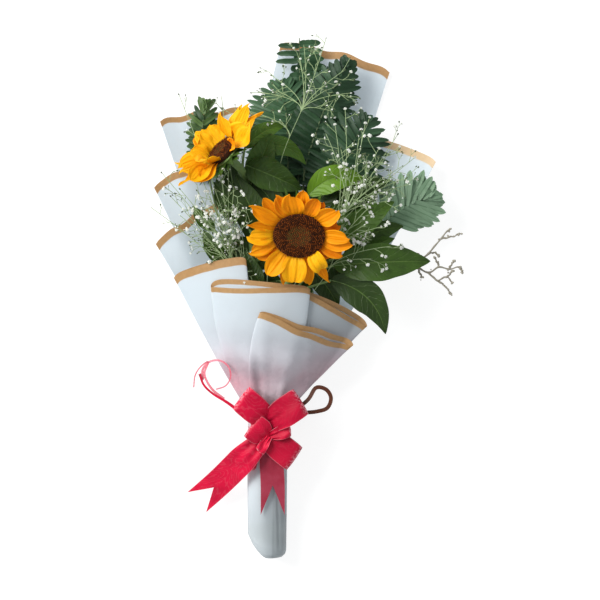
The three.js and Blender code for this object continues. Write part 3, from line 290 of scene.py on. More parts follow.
# The dry twig, and its branches
(TWIG,) = table(
    "name slot way seed",
    ("dry_twig", (11.8, 1.2),
     [(-28, -80, 30), (10, -10, 44), (40, 5, 46), (75, 28, 50), (100, 34, 53), (117, 38, 55)], 53),
)
TWIG_BRANCHES = [
    np.array(way) / 1000
    for way in (
        [(117, 38, 55), (132, 49, 57), (139.5, 56, 58), (147, 66, 58), (152, 72.5, 59), (157, 77, 58)],
        [(147, 66, 58), (159, 68, 59), (167.5, 71.5, 58)],
        [(132, 49, 57), (139.5, 50.5, 55), (144.5, 47, 54)],
        [(117, 38, 55), (125, 32.5, 56), (133, 29, 56), (145, 34.5, 55), (156, 32, 54), (166.5, 35, 54),
         (170.5, 33, 53)],
        [(145, 34.5, 55), (142.5, 40.5, 56), (139.5, 45.5, 57)],
        [(133, 29, 56), (138, 23.5, 55), (143, 20, 54), (153.5, 23.5, 53), (160, 17, 52)],
        [(153.5, 23.5, 53), (158, 28, 53), (160, 31, 53)],
        [(143, 20, 54), (150.5, 14.7, 53), (159, 5, 52)],
        [(120, 36, 55), (123.5, 29, 54), (126.5, 22.5, 54)],
        [(166.5, 35, 54), (170, 31.5, 54), (171.2, 28.5, 53)],
        [(127, 45.5, 56), (121.5, 49, 56), (118, 48.5, 55)],
        [(156, 32, 54), (159, 38.5, 54), (162.5, 41.5, 55)],
    )
]

# The bow: loops, the fold over the knot, tails with a V cut, and thin pull ribbons. Each piece's tone is
# painted shade, darkest on the loops to the right, away from the light.
LOOPS = table(
    "start end low high foot wide pinch tone phase",
    ((-41, -137), (-72.8, -109), 61, 70, 44, 1, 0.8, 0.1, 1),
    ((-48, -140.5), (-7.5, -113.2), 58, 68, 45, 1.06, 0.74, 0.55, 2.9),
    ((-40.5, -155.9), (-60.7, -140.1), 56, 62.5, 46, 0.97, 0.55, 0.25, 4.8),
    ((-51, -148), (-14.4, -176.9), 44, 52, 47, 1, 0.72, 0.6, 6.7),
    ((-42.5, -152), (-19.5, -144.5), 52, 58.5, 50, 0.5, 0.6, 0.35, 8.6),
    ((-44.5, -152), (-66.5, -187), 30, 35, 38, 0.95, 0.7, 0.45, 10.5),
    ((-42.5, -152), (-52.5, -168.5), 53, 58, 52, 0.36, 0.7, 0, 2.2),
)
RED, DUSKY, SHADED_CRIMSON, PALE = range(4)
TAILS = table(
    "way wide notch kind tone",
    ([(-44, -150, 49), (-68, -174, 50), (-96, -203, 25), (-124.5, -229.5, 2.4)], 1, 31, RED, 0.1),
    ([(-42, -154, 45), (-40, -178, 43.5), (-38.5, -208, 42.5), (-38.5, -240, 42)], 0.86, 33, DUSKY, 0.2),
)
CURL_CENTRE, CURL_RADIUS, CURL_LIFT = (-100.6, -84, 52), 16, 5
CURL_POINTS = [
    (
        CURL_CENTRE[0] + CURL_RADIUS * math.cos(math.radians(angle)),
        CURL_CENTRE[1] + CURL_RADIUS * math.sin(math.radians(angle)),
        CURL_CENTRE[2] + CURL_LIFT * share,
    )
    for angle, share in zip(np.linspace(200, -90, 8), np.linspace(0, 1, 8))
]
PULLS = table(
    "way steps kind tone broad narrow",
    ([(-45, -150, 46), (-66, -132, 52), (-88, -115, 54), (-105, -104.5, 54), (-114.5, -95, 54),
      (-119, -83, 55)], 60, RED, 0.2, 6.2, 2.4),
    ([(-119, -83, 55), *CURL_POINTS], 90, PALE, 0, 3.6, 1.6),
    ([(-92, -111, 54), (-106, -99, 54), (-113.5, -83, 55), (-109, -69.5, 56), (-116.5, -74, 57),
      (-123.5, -84, 56), (-125.5, -98, 54)], 60, PALE, 0.3, 3.8, 1.4),
    # The right pull ribbon: the crimson ribbon, its darker colour painted shade
    ([(-42, -148, 46), (-20, -128, 48), (0.5, -112, 47), (10, -98.5, 46), (21, -101, 45), (26, -110, 45),
      (22, -121, 46), (10, -125, 47), (0, -126, 48)], 80, SHADED_CRIMSON, 0.3, 5, 4.4),
)


# Helpers: easing, directions, curves, and shapes built from grids of points


def ease(value):
    part = np.clip(value, 0, 1)
    return part * part * (3 - 2 * part)


def lerp(a, b, share):
    return a + (b - a) * share


def bell(value, middle, width):
    return np.exp(-(((value - middle) / width) ** 2))


def unit(vectors):
    size = np.linalg.norm(vectors, axis=-1, keepdims=True)
    return vectors / np.maximum(size, 1e-12)


def stacked(*parts):
    return np.stack(np.broadcast_arrays(*parts), axis=-1)


def joined(*sheets):
    """The points of several grids, one after another."""
    return np.concatenate([sheet.reshape(-1, 3) for sheet in sheets])


def twice(values):
    return np.concatenate([np.ravel(values)] * 2)


def spun(x, y, turn):
    return x * math.cos(turn) - y * math.sin(turn), x * math.sin(turn) + y * math.cos(turn)


def aside(direction):
    """A direction at right angles to this one."""
    spare = UP if abs(direction[2]) < 0.9 else np.array([1.0, 0, 0])
    return unit(np.cross(direction, spare))


def axes_along(direction, size, turn=0.0):
    """Three rows, the last along the direction, each scaled by its part of size."""
    third = unit(direction)
    first = -aside(third)
    first, second = spun(first, np.cross(third, first), -turn)
    return np.array([first * size[0], second * size[1], third * size[2]])


class Path:
    """A smooth curve through points, read by its share of length or by its own parameter."""

    FINE = 24
    NEAR = 0.004

    def __init__(self, points):
        spots = np.array(points, float)
        knots = np.vstack([2 * spots[0] - spots[1], spots, 2 * spots[-1] - spots[-2]])
        step = np.linspace(0, 1, self.FINE, endpoint=False)[:, None]
        runs = []
        for a, b, c, d in zip(knots, knots[1:], knots[2:], knots[3:]):
            before, here, after = [math.sqrt(np.linalg.norm(q - p)) for p, q in ((a, b), (b, c), (c, d))]
            leave = here * ((b - a) / before - (c - a) / (before + here)) + (c - b)
            arrive = (c - b) + here * ((d - c) / after - (d - b) / (here + after))
            square = -3 * b + 3 * c - 2 * leave - arrive
            cube = 2 * b - 2 * c + leave + arrive
            runs.append(b + leave * step + square * step**2 + cube * step**3)
        self.dense = np.vstack(runs + [spots[-1:]])
        gaps = np.linalg.norm(np.diff(self.dense, axis=0), axis=1)
        self.reach = np.concatenate([[0], np.cumsum(gaps)])
        self.length = self.reach[-1]

    def read(self, where, scale):
        return np.stack([np.interp(where, scale, self.dense[:, k]) for k in range(3)], axis=-1)

    def at(self, share):
        return self.read(share * self.length, self.reach)

    def by_turn(self, turn):
        return self.read(turn, np.linspace(0, 1, len(self.dense)))

    def tangent(self, share):
        share = np.clip(share, self.NEAR, 1 - self.NEAR)
        return unit(self.at(share + self.NEAR) - self.at(share - self.NEAR))


class Bow:
    """A quadratic curve from start over a control point to end."""

    def __init__(self, start, control, end):
        self.start, self.control, self.end = start, control, end

    def at(self, share):
        t = np.asarray(share, float)[..., None]
        return (1 - t) ** 2 * self.start + 2 * t * (1 - t) * self.control + t**2 * self.end

    def tangent(self, share):
        t = np.asarray(share, float)[..., None]
        return unit((1 - t) * (self.control - self.start) + t * (self.end - self.control))


class Shape:
    """Collects surfaces, their materials and the numbers that colour them, and makes one object of them."""

    FIELDS = ("across", "along", "rim", "tone", "shade")

    def __init__(self):
        self.points, self.faces, self.kinds = [], [], []
        self.fields = {name: [] for name in self.FIELDS}
        self.count = 0

    def add(self, points, faces, kinds=0, **fields):
        """Adds points with faces, given as lists of corner numbers, each list with its material's number."""
        for group, kind in zip(faces, np.broadcast_to(kinds, len(faces)).tolist()):
            self.faces.extend((group + self.count).tolist())
            self.kinds.extend([kind] * len(group))
        for name in self.FIELDS:
            values = np.asarray(fields.get(name, 0.0), float).ravel()
            self.fields[name].append(np.broadcast_to(values, len(points)))
        self.points.append(points)
        self.count += len(points)

    def build(self, name, nodes, materials, slot, sharp=50):
        mesh = bpy.data.meshes.new(name)
        mesh.from_pydata(np.vstack(self.points).tolist(), [], self.faces)
        for field, values in self.fields.items():
            layer = mesh.attributes.new(field, "FLOAT", "POINT")
            layer.data.foreach_set("value", np.concatenate(values))
        for material in materials:
            mesh.materials.append(material)
        mesh.polygons.foreach_set("material_index", self.kinds)
        mesh.shade_smooth()
        mesh.set_sharp_from_angle(angle=math.radians(sharp))
        mesh.update()
        made = bpy.data.objects.new(name, mesh)
        bpy.context.scene.collection.objects.link(made)
        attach(made, "root")
        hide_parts(*nodes)
        return made


def grid_faces(rows, columns, closed=False):
    """The quads of a grid with that many rows and columns of them, facing where across x along points."""
    wide = columns if closed else columns + 1
    low = np.arange(rows)[:, None] * wide
    here, after = low + np.arange(columns), low + np.arange(1, columns + 1) % wide
    return np.stack([here, after, after + wide, here + wide], axis=-1).reshape(-1, 4)


def strip(low, high):
    """Quads between two closed rings of corners."""
    return np.stack([low, np.roll(low, -1), np.roll(high, -1), high], axis=1)


def fan(tip, ring):
    """Triangles from one corner to a closed ring of corners."""
    return np.stack([np.full(len(ring), tip), ring, np.roll(ring, -1)], axis=1)


def capped_faces(rows, sides):
    """Faces of a closed grid of points, with a fan at each end from the two points that come after it."""
    ring, size = np.arange(sides), (rows + 1) * sides
    caps = np.concatenate([fan(size, ring)[:, ::-1], fan(size + 1, ring + rows * sides)])
    return [grid_faces(rows, sides, closed=True), caps]


def ring_grid(sides, rows, low=0.0, high=1.0):
    """The turn and the step of each point of a closed grid."""
    turns = np.linspace(0, FULL_TURN, sides, endpoint=False)
    return np.meshgrid(turns, np.linspace(low, high, rows + 1))


def reach_to_rim(points):
    """How far each point of a grid lies from the last one of its column."""
    steps = np.linalg.norm(np.diff(points, axis=0), axis=2)
    return np.vstack([np.cumsum(steps[::-1], axis=0)[::-1], 0 * steps[:1]])


def blade(shape, columns, rows, thickness, surface, kind=0, under=None, tone=0.0, shade=None, rim_scale=1.0):
    """A thin closed plate over surface(u, v), with u from -1 to 1 across it and v from 0 to 1 along it."""
    v, u = np.meshgrid(np.linspace(0, 1, rows + 1), np.linspace(-1, 1, columns + 1), indexing="ij")
    middle = surface(u, v)
    half = unit(np.cross(np.gradient(middle, axis=1), np.gradient(middle, axis=0))) * (thickness / 2)
    top = grid_faces(rows, columns)
    number = np.arange(u.size).reshape(u.shape)
    edge = np.concatenate([number[0], number[1:, -1], number[-1, -2::-1], number[-2:0:-1, 0]])
    shape.add(
        joined(middle + half, middle - half),
        [np.concatenate([top, strip(edge + u.size, edge)]), top[:, ::-1] + u.size],
        [kind, kind if under is None else under],
        across=twice(u),
        along=twice(v),
        rim=twice(reach_to_rim(middle) * rim_scale),
        tone=tone,
        shade=twice(shade(u, v)) if shade else 0.0,
    )


def tube(shape, points, radii, sides, kind=0, tone=0.0, along=None):
    """A rod through points, with a radius at each, closed at both ends."""
    rings = len(points)
    tangents = unit(np.gradient(points, axis=0))
    normals = [aside(tangents[0])]
    for tangent in tangents:
        normals.append(unit(normals[-1] - tangent * normals[-1].dot(tangent)))
    normals = np.array(normals[1:])
    turn = np.linspace(0, FULL_TURN, sides, endpoint=False)[None, :, None]
    ring = np.cos(turn) * normals[:, None] + np.sin(turn) * np.cross(tangents, normals)[:, None]
    walls = points[:, None] + ring * np.broadcast_to(radii, rings)[:, None, None]
    share = np.linspace(0, 1, rings) if along is None else along
    shape.add(
        joined(walls, points[:1], points[-1:]),
        capped_faces(rings - 1, sides),
        kind,
        across=np.concatenate([np.tile(np.linspace(-1, 1, sides), rings), [0, 0]]),
        along=np.concatenate([np.repeat(share, sides), share[:1], share[-1:]]),
        tone=tone,
    )


def lathe(shape, place, profile, sides, kind=0, tone=0.0):
    """A turned shape in a head's own frame, from (radius, height) pairs read from its back to its face."""
    turn = np.linspace(0, FULL_TURN, sides, endpoint=False)
    radius, height = np.array(profile, float).T[:, :, None]
    points = place(radius * np.cos(turn), radius * np.sin(turn), height + 0 * turn)
    along = np.repeat(np.linspace(0, 1, len(profile)), sides)
    faces = grid_faces(len(profile) - 1, sides, closed=True)
    shape.add(joined(points), [faces], kind, along=along, tone=tone)


def seed_shape(sides=6, rings=3):
    """A small round body of unit size, as points and faces, to be stamped as buds, florets and blossoms."""
    height = np.cos(np.linspace(0, math.pi, rings + 2))[1:-1, None]
    turn = np.linspace(0, FULL_TURN, sides, endpoint=False)
    radius = np.sqrt(1 - height**2)
    ring = stacked(radius * np.cos(turn), radius * np.sin(turn), height)
    return joined(ring, UP, -UP), [group[:, ::-1] for group in capped_faces(rings - 1, sides)]


def stamp(shape, model, centre, axes, kind=0, tone=0.0):
    """Puts a copy of a model at centre, each of its own axes along a row of axes."""
    points, faces = model
    shape.add(points @ axes + centre, faces, kind, tone=tone)


# Materials: short calls for the kinds of shader node used here


class Wire:
    """An output of a shader node, which can be reckoned with like a number."""

    def __init__(self, make, socket):
        self.make, self.socket = make, socket

    def __add__(self, other):
        return self.make.math("ADD", self, other)

    def __sub__(self, other):
        return self.make.math("SUBTRACT", self, other)

    def __rsub__(self, other):
        return self.make.math("SUBTRACT", other, self)

    def __mul__(self, other):
        return self.make.math("MULTIPLY", self, other)

    def __abs__(self):
        return self.make.math("ABSOLUTE", self)


class Finish:
    """A material made of shader nodes."""

    TONE_STEP = 37.0

    def __init__(self, name):
        self.material = bpy.data.materials.new(name)
        self.material.use_nodes = True
        self.tree = self.material.node_tree
        self.tree.nodes.clear()

    def node(self, kind, output, inputs=(), **settings):
        """Adds a node with its settings and inputs, and gives one of its outputs."""
        node = self.tree.nodes.new("ShaderNode" + kind)
        for name, value in settings.items():
            setattr(node, name, value)
        for key, value in dict(inputs).items():
            socket = node.inputs[key]
            if isinstance(value, Wire):
                self.tree.links.new(value.socket, socket)
            elif value is not None:
                socket.default_value = (*value, 1.0) if socket.type == "RGBA" else value
        return Wire(self, node.outputs[output])

    def done(self, shader):
        output = self.tree.nodes.new("ShaderNodeOutputMaterial")
        self.tree.links.new(shader.socket, output.inputs["Surface"])
        return self.material

    def field(self, name):
        return self.node("Attribute", "Fac", attribute_name=name)

    def place(self):
        return self.node("TexCoord", "Object")

    def grid(self, across, along):
        """A place made from the shape's own across and along fields."""
        scales = {"across": across, "along": along, "tone": self.TONE_STEP}
        parts = [self.field(name) * scale for name, scale in scales.items()]
        return self.node("CombineXYZ", 0, enumerate(parts))

    def math(self, operation, a, b=0.0, limit=False):
        return self.node("Math", 0, {0: a, 1: b}, operation=operation, use_clamp=limit)

    def limited(self, a, b):
        """The product of a and b, kept between 0 and 1."""
        return self.math("MULTIPLY", a, b, limit=True)

    def between(self, value, low, high, start=0.0, end=1.0):
        """Where value lies from low to high, eased, as a number from start to end."""
        parts = enumerate((value, low, high, start, end))
        return self.node("MapRange", 0, parts, interpolation_type="SMOOTHSTEP")

    def mix(self, share, a, b):
        return self.node("Mix", 2, {0: share, 6: a, 7: b}, data_type="RGBA")

    def noise(self, spot, scale, detail=3.0, rough=0.55):
        parts = {"Vector": spot, "Scale": scale, "Detail": detail, "Roughness": rough}
        return self.node("TexNoise", "Fac", parts)

    def bump(self, height, strength, distance, normal=None):
        parts = {"Height": height, "Strength": strength, "Distance": distance, "Normal": normal}
        return self.node("Bump", "Normal", parts)

    def surface(self, color, roughness, normal=None, shine=None):
        parts = {"Base Color": color, "Roughness": roughness, "Normal": normal, "Specular IOR Level": shine}
        return self.node("BsdfPrincipled", 0, parts)

    def blend(self, share, a, b):
        return self.node("MixShader", 0, enumerate((share, a, b)))

    def clear(self):
        return self.node("BsdfTransparent", 0)

    def thin(self, share, color, roughness, normal=None, shine=None, through=None):
        """A surface that lets a share of the light through from the other side."""
        glow = self.node("BsdfTranslucent", 0, {"Color": through or color, "Normal": normal})
        return self.blend(share, self.surface(color, roughness, normal, shine), glow)


# Finishes. Colours are linear.

PAPER_WHITE, PAPER_CLOUD, PAPER_LIGHT = (0.765, 0.825, 0.87), (0.6, 0.69, 0.74), (0.9, 0.95, 0.95)
PAPER_SHADE, PAPER_RIBBON_REFLECTION, PAPER_STEM_SHADOW = (0.2, 0.225, 0.235), (0.84, 0.45, 0.53), (0.33, 0.31, 0.36)
PAPER_GOLD, PAPER_BRASS, PAPER_FADED = (0.46, 0.26, 0.1), (0.62, 0.38, 0.17), (0.84, 0.67, 0.44)
LEAF_DARK, LEAF_MIDDLE, LEAF_BRIGHT = (0.023, 0.05, 0.007), (0.056, 0.125, 0.013), (0.14, 0.28, 0.012)
LEAF_VEIN, LEAF_PALE = (0.15, 0.25, 0.06), (0.17, 0.27, 0.13)
FERN_DARK, FERN_LIGHT, FERN_PALE = (0.014, 0.046, 0.018), (0.065, 0.15, 0.07), (0.24, 0.38, 0.24)
FERN_YOUNG = (0.12, 0.21, 0.05)
PETAL_ORANGE, PETAL_GOLD, PETAL_YELLOW = (0.78, 0.2, 0.001), (0.98, 0.36, 0.001), (1.0, 0.56, 0.006)
PETAL_FOOT_SHADE = (0.38, 0.06, 0.001)
DISC_BROWN, DISC_TIP, DISC_GREEN = (0.035, 0.01, 0.003), (0.22, 0.055, 0.008), (0.09, 0.058, 0.012)
BLOSSOM_WHITE, BLOSSOM_CREAM = (0.95, 0.96, 0.93), (0.76, 0.8, 0.66)
BLOSSOM_STEM, BLOSSOM_BUD = (0.17, 0.27, 0.11), (0.09, 0.13, 0.05)
TWIG_BARK, TWIG_PALE = (0.12, 0.105, 0.08), (0.38, 0.35, 0.28)
RIBBON_RED, RIBBON_DEEP, RIBBON_WEAR_AND_HIGHLIGHT = (0.74, 0.004, 0.05), (0.3, 0.001, 0.018), (0.95, 0.45, 0.52)
RIBBON_DUSKY, RIBBON_CRIMSON_IN_SHADE, RIBBON_PALE = (0.42, 0.05, 0.09), (0.13, 0.04, 0.018), (0.8, 0.27, 0.34)


def paper_finish(name, see_through):
    """Frosted paper: it lets light through, and its rim is printed with a gold border. Its shade field paints
    shade on it, and near the tie it has a painted pink reflection of the ribbon and painted stem shadows.
    """
    make = Finish(name)
    spot, tone = make.place(), make.field("tone")
    edge = make.field("rim") + make.noise(spot, 60.0, 2.0) * 0.0016
    border = make.between(edge, BORDER_WIDE, BORDER_WIDE + 0.0012, 1.0, 0.0)
    cloud = make.noise(spot, 9.0)
    tint = make.mix(cloud * 0.3, PAPER_WHITE, PAPER_CLOUD)
    # Painted pink reflection of the ribbon, where tone is high near the tie
    tint = make.mix(make.limited(tone, make.between(cloud, 0.3, 0.7, 0.25, 0.85)), tint, PAPER_RIBBON_REFLECTION)
    shade = make.limited(make.field("shade"), make.between(cloud, 0.3, 0.7, 0.8, 1.15))
    tint = make.mix(shade, tint, PAPER_SHADE)
    # Painted shadows of the stems inside: grey blotches near the tie, seen through the paper
    stem_shadow = make.between(make.noise(spot, 24.0, 2.0), 0.5, 0.7, 0.0, 0.3)
    tint = make.mix(make.limited(stem_shadow, tone), tint, PAPER_STEM_SHADOW)
    gold = make.mix(make.noise(spot, 260.0, 2.0), PAPER_GOLD, PAPER_BRASS)
    gold = make.mix(make.between(tone, -1.0, 0.0, 1.0, 0.0), gold, PAPER_FADED)
    color = make.mix(border, tint, gold)
    grain = make.bump(make.noise(spot, 900.0, 4.0, 0.7), 0.12, 0.0004)
    crumple = make.between(tone, 0.0, 1.0, 0.14, 0.75)
    normal = make.bump(make.noise(spot, 34.0, 4.0, 0.5), crumple, 0.005, grain)
    sheet = make.thin(0.38, color, 0.42, normal, through=make.mix(0.2, color, PAPER_LIGHT))
    return make.done(make.blend((1.0 - border) * see_through, sheet, make.clear()))


def petal_finish():
    """A petal: streaked along its length, with painted shade at its foot, orange to yellow by tone, which
    also paints light: yellower where it faces the light, and more orange in the back layers.
    """
    make = Finish("petal skin")
    across = make.field("across")
    fine = make.noise(make.grid(7.0, 1.4), 3.0, 4.0, 0.6)
    level = make.field("tone") + (make.noise(make.grid(1.6, 1.6), 1.6, 2.0) - 0.5) * 0.5
    # Tone paints light as well as colour: yellower where a petal faces the light, more orange in the back
    # layers
    color = make.mix(make.between(level, 0.0, 0.5), PETAL_ORANGE, PETAL_GOLD)
    color = make.mix(make.between(level, 0.45, 1.05), color, PETAL_YELLOW)
    color = make.mix(make.between(fine, 0.5, 0.7, 0.0, 0.6), color, PETAL_ORANGE)
    # Painted shade at the foot of the petal, next to the disc
    color = make.mix(make.between(make.field("along"), 0.0, 0.24, 0.75, 0.0), color, PETAL_FOOT_SHADE)
    color = make.mix(make.between(abs(across), 0.72, 1.0, 0.0, 0.35), color, PETAL_YELLOW)
    normal = make.bump(make.math("SINE", across * 17.0) * 0.5 + fine, 0.5, 0.0007)
    return make.done(make.thin(0.3, color, 0.55, normal, 0.16))


def side_veins(make, side, count, slant, wander=0.0):
    """Lines that slope from the midrib to the edge: 0.5 on a line and 0 halfway between two."""
    slope = make.field("along") * count - side * slant + wander
    return abs(make.math("FRACT", slope) - 0.5)


def leaf_finish(name, dark, middle, bright, under):
    """A leaf: a pale midrib, side veins that slope to the edge, and quilting between them."""
    make = Finish(name)
    side = abs(make.field("across"))
    wander = make.noise(make.grid(1.0, 4.0), 1.6, 2.0) * 1.3
    vein = make.between(side_veins(make, side, 9.0, 1.9, wander), 0.4, 0.5)
    vein = vein * make.between(side, 0.9, 1.0, 1.0, 0.0)
    rib = make.between(side, 0.02, 0.06, 1.0, 0.0)
    level = make.field("tone") + (make.noise(make.place(), 70.0, 4.0, 0.6) - 0.5) * 0.5
    # Tone paints light and shade as well as the leaf's own green: leaves in shade are darker, lit ones
    # brighter
    color = make.mix(make.between(level, 0.0, 0.5), dark, middle)
    color = make.mix(make.between(level, 0.4, 1.1), color, bright)
    for share, tint in ((vein * 0.13, LEAF_VEIN), (rib * 0.45, LEAF_VEIN), (under, LEAF_PALE)):
        color = make.mix(share, color, tint)
    height = make.noise(make.place(), 420.0, 2.0) * 0.25 - make.math("MAXIMUM", vein, rib)
    normal = make.bump(height, 0.6, 0.0008)
    return make.done(make.thin(0.16, color, 0.46, normal, 0.3, make.mix(0.5, color, LEAF_BRIGHT)))


def stem_finish(name, low, high, rough=0.55):
    """A green or dry stem, streaked along its length."""
    make = Finish(name)
    mottled = make.noise(make.place(), 160.0)
    color = make.mix((make.noise(make.grid(3.0, 40.0), 2.0) + mottled) * 0.5, low, high)
    color = make.mix(make.field("tone"), color, high)
    return make.done(make.surface(color, rough, make.bump(mottled, 0.4, 0.0005)))


def fern_finish(name, low, high):
    """A fern leaflet: darker along its midrib, with fine side veins."""
    make = Finish(name)
    side = abs(make.field("across"))
    vein = make.between(side_veins(make, side, 13.0, 1.6), 0.32, 0.5)
    rib = make.between(side, 0.05, 0.16, 1.0, 0.0)
    level = make.field("tone") + (make.noise(make.place(), 90.0) - 0.5) * 0.6
    color = make.mix(make.between(level, 0.0, 1.0), low, high)
    color = make.mix(vein * 0.22, color, high)
    color = make.mix(rib * 0.6, color, low)
    normal = make.bump(make.math("MAXIMUM", vein, rib), -0.5, 0.0006)
    return make.done(make.thin(0.2, color, 0.5, normal, 0.35, high))


def disc_finish():
    make = Finish("disc florets")
    tone = make.field("tone")
    grain = make.noise(make.place(), 700.0, 3.0, 0.7)
    color = make.mix(make.between(tone, 0.0, 0.5), DISC_BROWN, DISC_TIP)
    color = make.mix(make.between(tone, 0.6, 1.0), color, DISC_GREEN)
    color = make.mix(make.between(grain, 0.45, 0.75, 0.0, 0.6), color, DISC_BROWN)
    return make.done(make.surface(color, 0.85, make.bump(grain, 0.5, 0.0006), 0.15))


def blossom_finish():
    make = Finish("blossom petals")
    color = make.mix(make.noise(make.place(), 500.0, 2.0) * 0.35, BLOSSOM_WHITE, BLOSSOM_CREAM)
    return make.done(make.thin(0.3, color, 0.7, through=BLOSSOM_WHITE))


def plain_finish(name, color, rough):
    make = Finish(name)
    mottled = make.noise(make.place(), 300.0)
    shade = tuple(0.55 * part for part in color)
    return make.done(make.surface(make.mix(mottled, shade, color), rough, make.bump(mottled, 0.3, 0.0004)))


def ribbon_finish(name, color, deep, wear_and_highlight, sheer=0.0):
    """Satin ribbon with an embossed swirl, paler edges, and pale fold ends that are part wear and part
    painted highlight; its tone paints shade on it.
    """
    make = Finish(name)
    spot, tone, flow = make.place(), make.field("tone"), make.grid(1.0, 6.0)
    cells = make.node("TexVoronoi", "Distance", {"Vector": flow, "Scale": 0.85}, feature="F1")
    lines = make.between(make.math("SINE", cells * 40.0 + make.noise(flow, 2.2, 2.0) * 16.0), 0.6, 0.95)
    scuffs = make.between(make.noise(spot, 420.0), 0.42, 0.62)
    for share, tint in (
        # Painted shade by tone
        (tone * 0.8, deep),
        (make.between(make.noise(spot, 55.0), 0.35, 0.75, 0.0, 0.45), deep),
        (lines * make.between(tone, 0.0, 0.4, 0.055, 0.015), wear_and_highlight),
        # The shade field marks the loops' fold ends here: pale there, part wear and part painted highlight
        (make.field("shade") * scuffs * 0.75, wear_and_highlight),
        (make.between(abs(make.field("across")), 0.95, 1.0, 0.0, 0.35), wear_and_highlight),
    ):
        color = make.mix(share, color, tint)
    height = lines * 0.6 + make.noise(make.grid(60.0, 400.0), 4.0, 2.0) * 0.35
    cloth = make.thin(0.16, color, 0.46, make.bump(height, 0.35, 0.0004), 0.18)
    return make.done(make.blend(sheer, cloth, make.clear()) if sheer else cloth)


# The wrap


def along_wrap(y):
    return np.clip((y - WRAP_START_Y) / WRAP_LENGTH, 0, 1.2)


def front_height(x, y):
    """The height over the surface where the front of the wrap starts, above the stems and leaves."""
    s = along_wrap(y)
    side = FRONT_SIDE + 0.006 * s
    top = FRONT_SIDE + FRONT_RISE * np.sin(np.minimum(s, 1) * math.pi / 2) ** 0.9
    t = np.clip((x - TIE_X - FRONT_DRIFT * s) / (FRONT_NECK_HALF + FRONT_SPREAD * s), -1, 1)
    return side + (top - side) * (1 - t * t)


def trough_height(x, y):
    """The trough of the back: flat in the middle, with its sides turned up."""

    def reach(run):
        return np.clip((y - TROUGH_START_Y) / run, 0, 1)

    middle = lerp(TIE_X, TROUGH_MIDDLE_X, reach(TROUGH_MIDDLE_RUN))
    sides = []
    for side in (TROUGH_LEFT, TROUGH_RIGHT):
        t = (x - middle) / (lerp(side["neck_x"], side["far_x"], reach(side["run"])) - middle)
        sides.append(side["rise"] * np.clip((t - TROUGH_FLAT) / (1 - TROUGH_FLAT), 0, 1.1) ** 2)
    return np.where(x < middle, *sides)


def edge_point(edge, v):
    """Where a lobe's edge is at v: straight in the neck, then over its middle point to its corner."""
    neck, middle, corner = edge
    t = np.clip((v - STRIP_SHARE) / (1 - STRIP_SHARE), 0, None)[..., None]
    x, y = np.moveaxis((1 - t) ** 2 * neck + 2 * t * (1 - t) * middle + t**2 * corner, -1, 0)
    in_neck = v < STRIP_SHARE
    return np.where(in_neck, neck[0], x), np.where(in_neck, lerp(STRIP_START_Y, neck[1], v / STRIP_SHARE), y)


def lobe_plan(lobe, u, v):
    (left_x, left_y), (right_x, right_y) = edge_point(lobe["left"], v), edge_point(lobe["right"], v)
    side = (u + 1) / 2
    bulge = (lobe["bow"] + lobe["wave"] * np.sin(2.5 * math.pi * u)) * (1 - u * u)
    corner = CORNER_ROUND * np.abs(u) ** 14
    return lerp(left_x, right_x, side), lerp(left_y, right_y, side) + bulge * v**3 - corner * v**10


def lobe_row(v):
    """The first seventh of a lobe's rows is its straight strip in the neck, and the others share the rest."""
    first = 1 / 7
    rest = np.clip((v - first) / (1 - first), 0, 1) ** 1.35
    return np.where(v < first, v / first * STRIP_SHARE, lerp(STRIP_SHARE, 1, rest))


def creases(x, y, phase):
    """Soft folds that fan out from the tie and fade towards the rim, as a height."""
    out_x, out_y = x - TIE_X, y - NECK_LOW_Y
    angle, reach = np.arctan2(out_x, out_y), np.hypot(out_x, out_y)
    fan_out = np.sin(23 * angle + phase) + 0.6 * np.sin(41 * angle + 2.1 * phase)
    fan_out = fan_out + 0.5 * np.sin(11 * angle - phase)
    broad = np.sin(5 * angle + 0.6 * phase + 9 * reach) * ease(reach / 0.2)
    buckle = np.sin(85 * x + 60 * y + phase) * np.sin(70 * x - 95 * y + 2 * phase)
    return (0.0009 * fan_out + 0.0036 * buckle) * bell(reach, 0.075, 0.05) + 0.0018 * broad


def sleeve(shape, lobe, columns, rows, thickness):
    """A front lobe of the wrap: a sheet folded double, with its two rims apart, its layers close together at
    its foot.
    """
    turn, row = ring_grid(2 * columns, rows)
    v = lobe_row(row)

    def wall(inset):
        u = np.cos(turn) * (1 - inset * 8)
        lens = np.sign(np.sin(turn)) * np.abs(np.sin(turn)) ** 0.6
        mouth = lerp(*lobe["part"], ease((u + 1) / 2)) / POCKET_LENGTH[lobe["level"]]
        x, y = lobe_plan(lobe, u, v * (1 - 0.5 * mouth * lens * ease((v - 0.5) / 0.5)))
        s = along_wrap(y)
        middle = front_height(x, y) + lerp(*POCKET_LIFT[lobe["level"]], ease(s / 0.6))
        thick = lerp(POCKET_NECK_THICK, POCKET_RIM_THICK, ease(s / 0.8))
        fold = creases(x, y, 0.7 + 0.3 * lobe["level"]) * (1 - 0.45 * (lens < 0))
        return stacked(x, y, middle + lens * np.maximum(thick / 2 - inset, thickness * 0.3) + fold)

    outer, inner = wall(0.0), wall(POCKET_WALL)
    skin = grid_faces(rows, 2 * columns, closed=True)
    last = rows * 2 * columns + np.arange(2 * columns)
    shape.add(
        joined(outer, inner),
        [np.concatenate([skin, skin[:, ::-1] + turn.size, strip(last, last + turn.size)])],
        rim=twice(reach_to_rim(outer) * BORDER_WIDE / lobe["border"]),
        # Tone, highest near the tie, paints the ribbon's pink reflection and the stems' shadows, and deepens
        # the crumples
        tone=twice(bell(outer[..., 1], -0.1, 0.045)),
        shade=twice(lobe_shade(lobe, np.cos(turn), outer[..., 0])),
    )


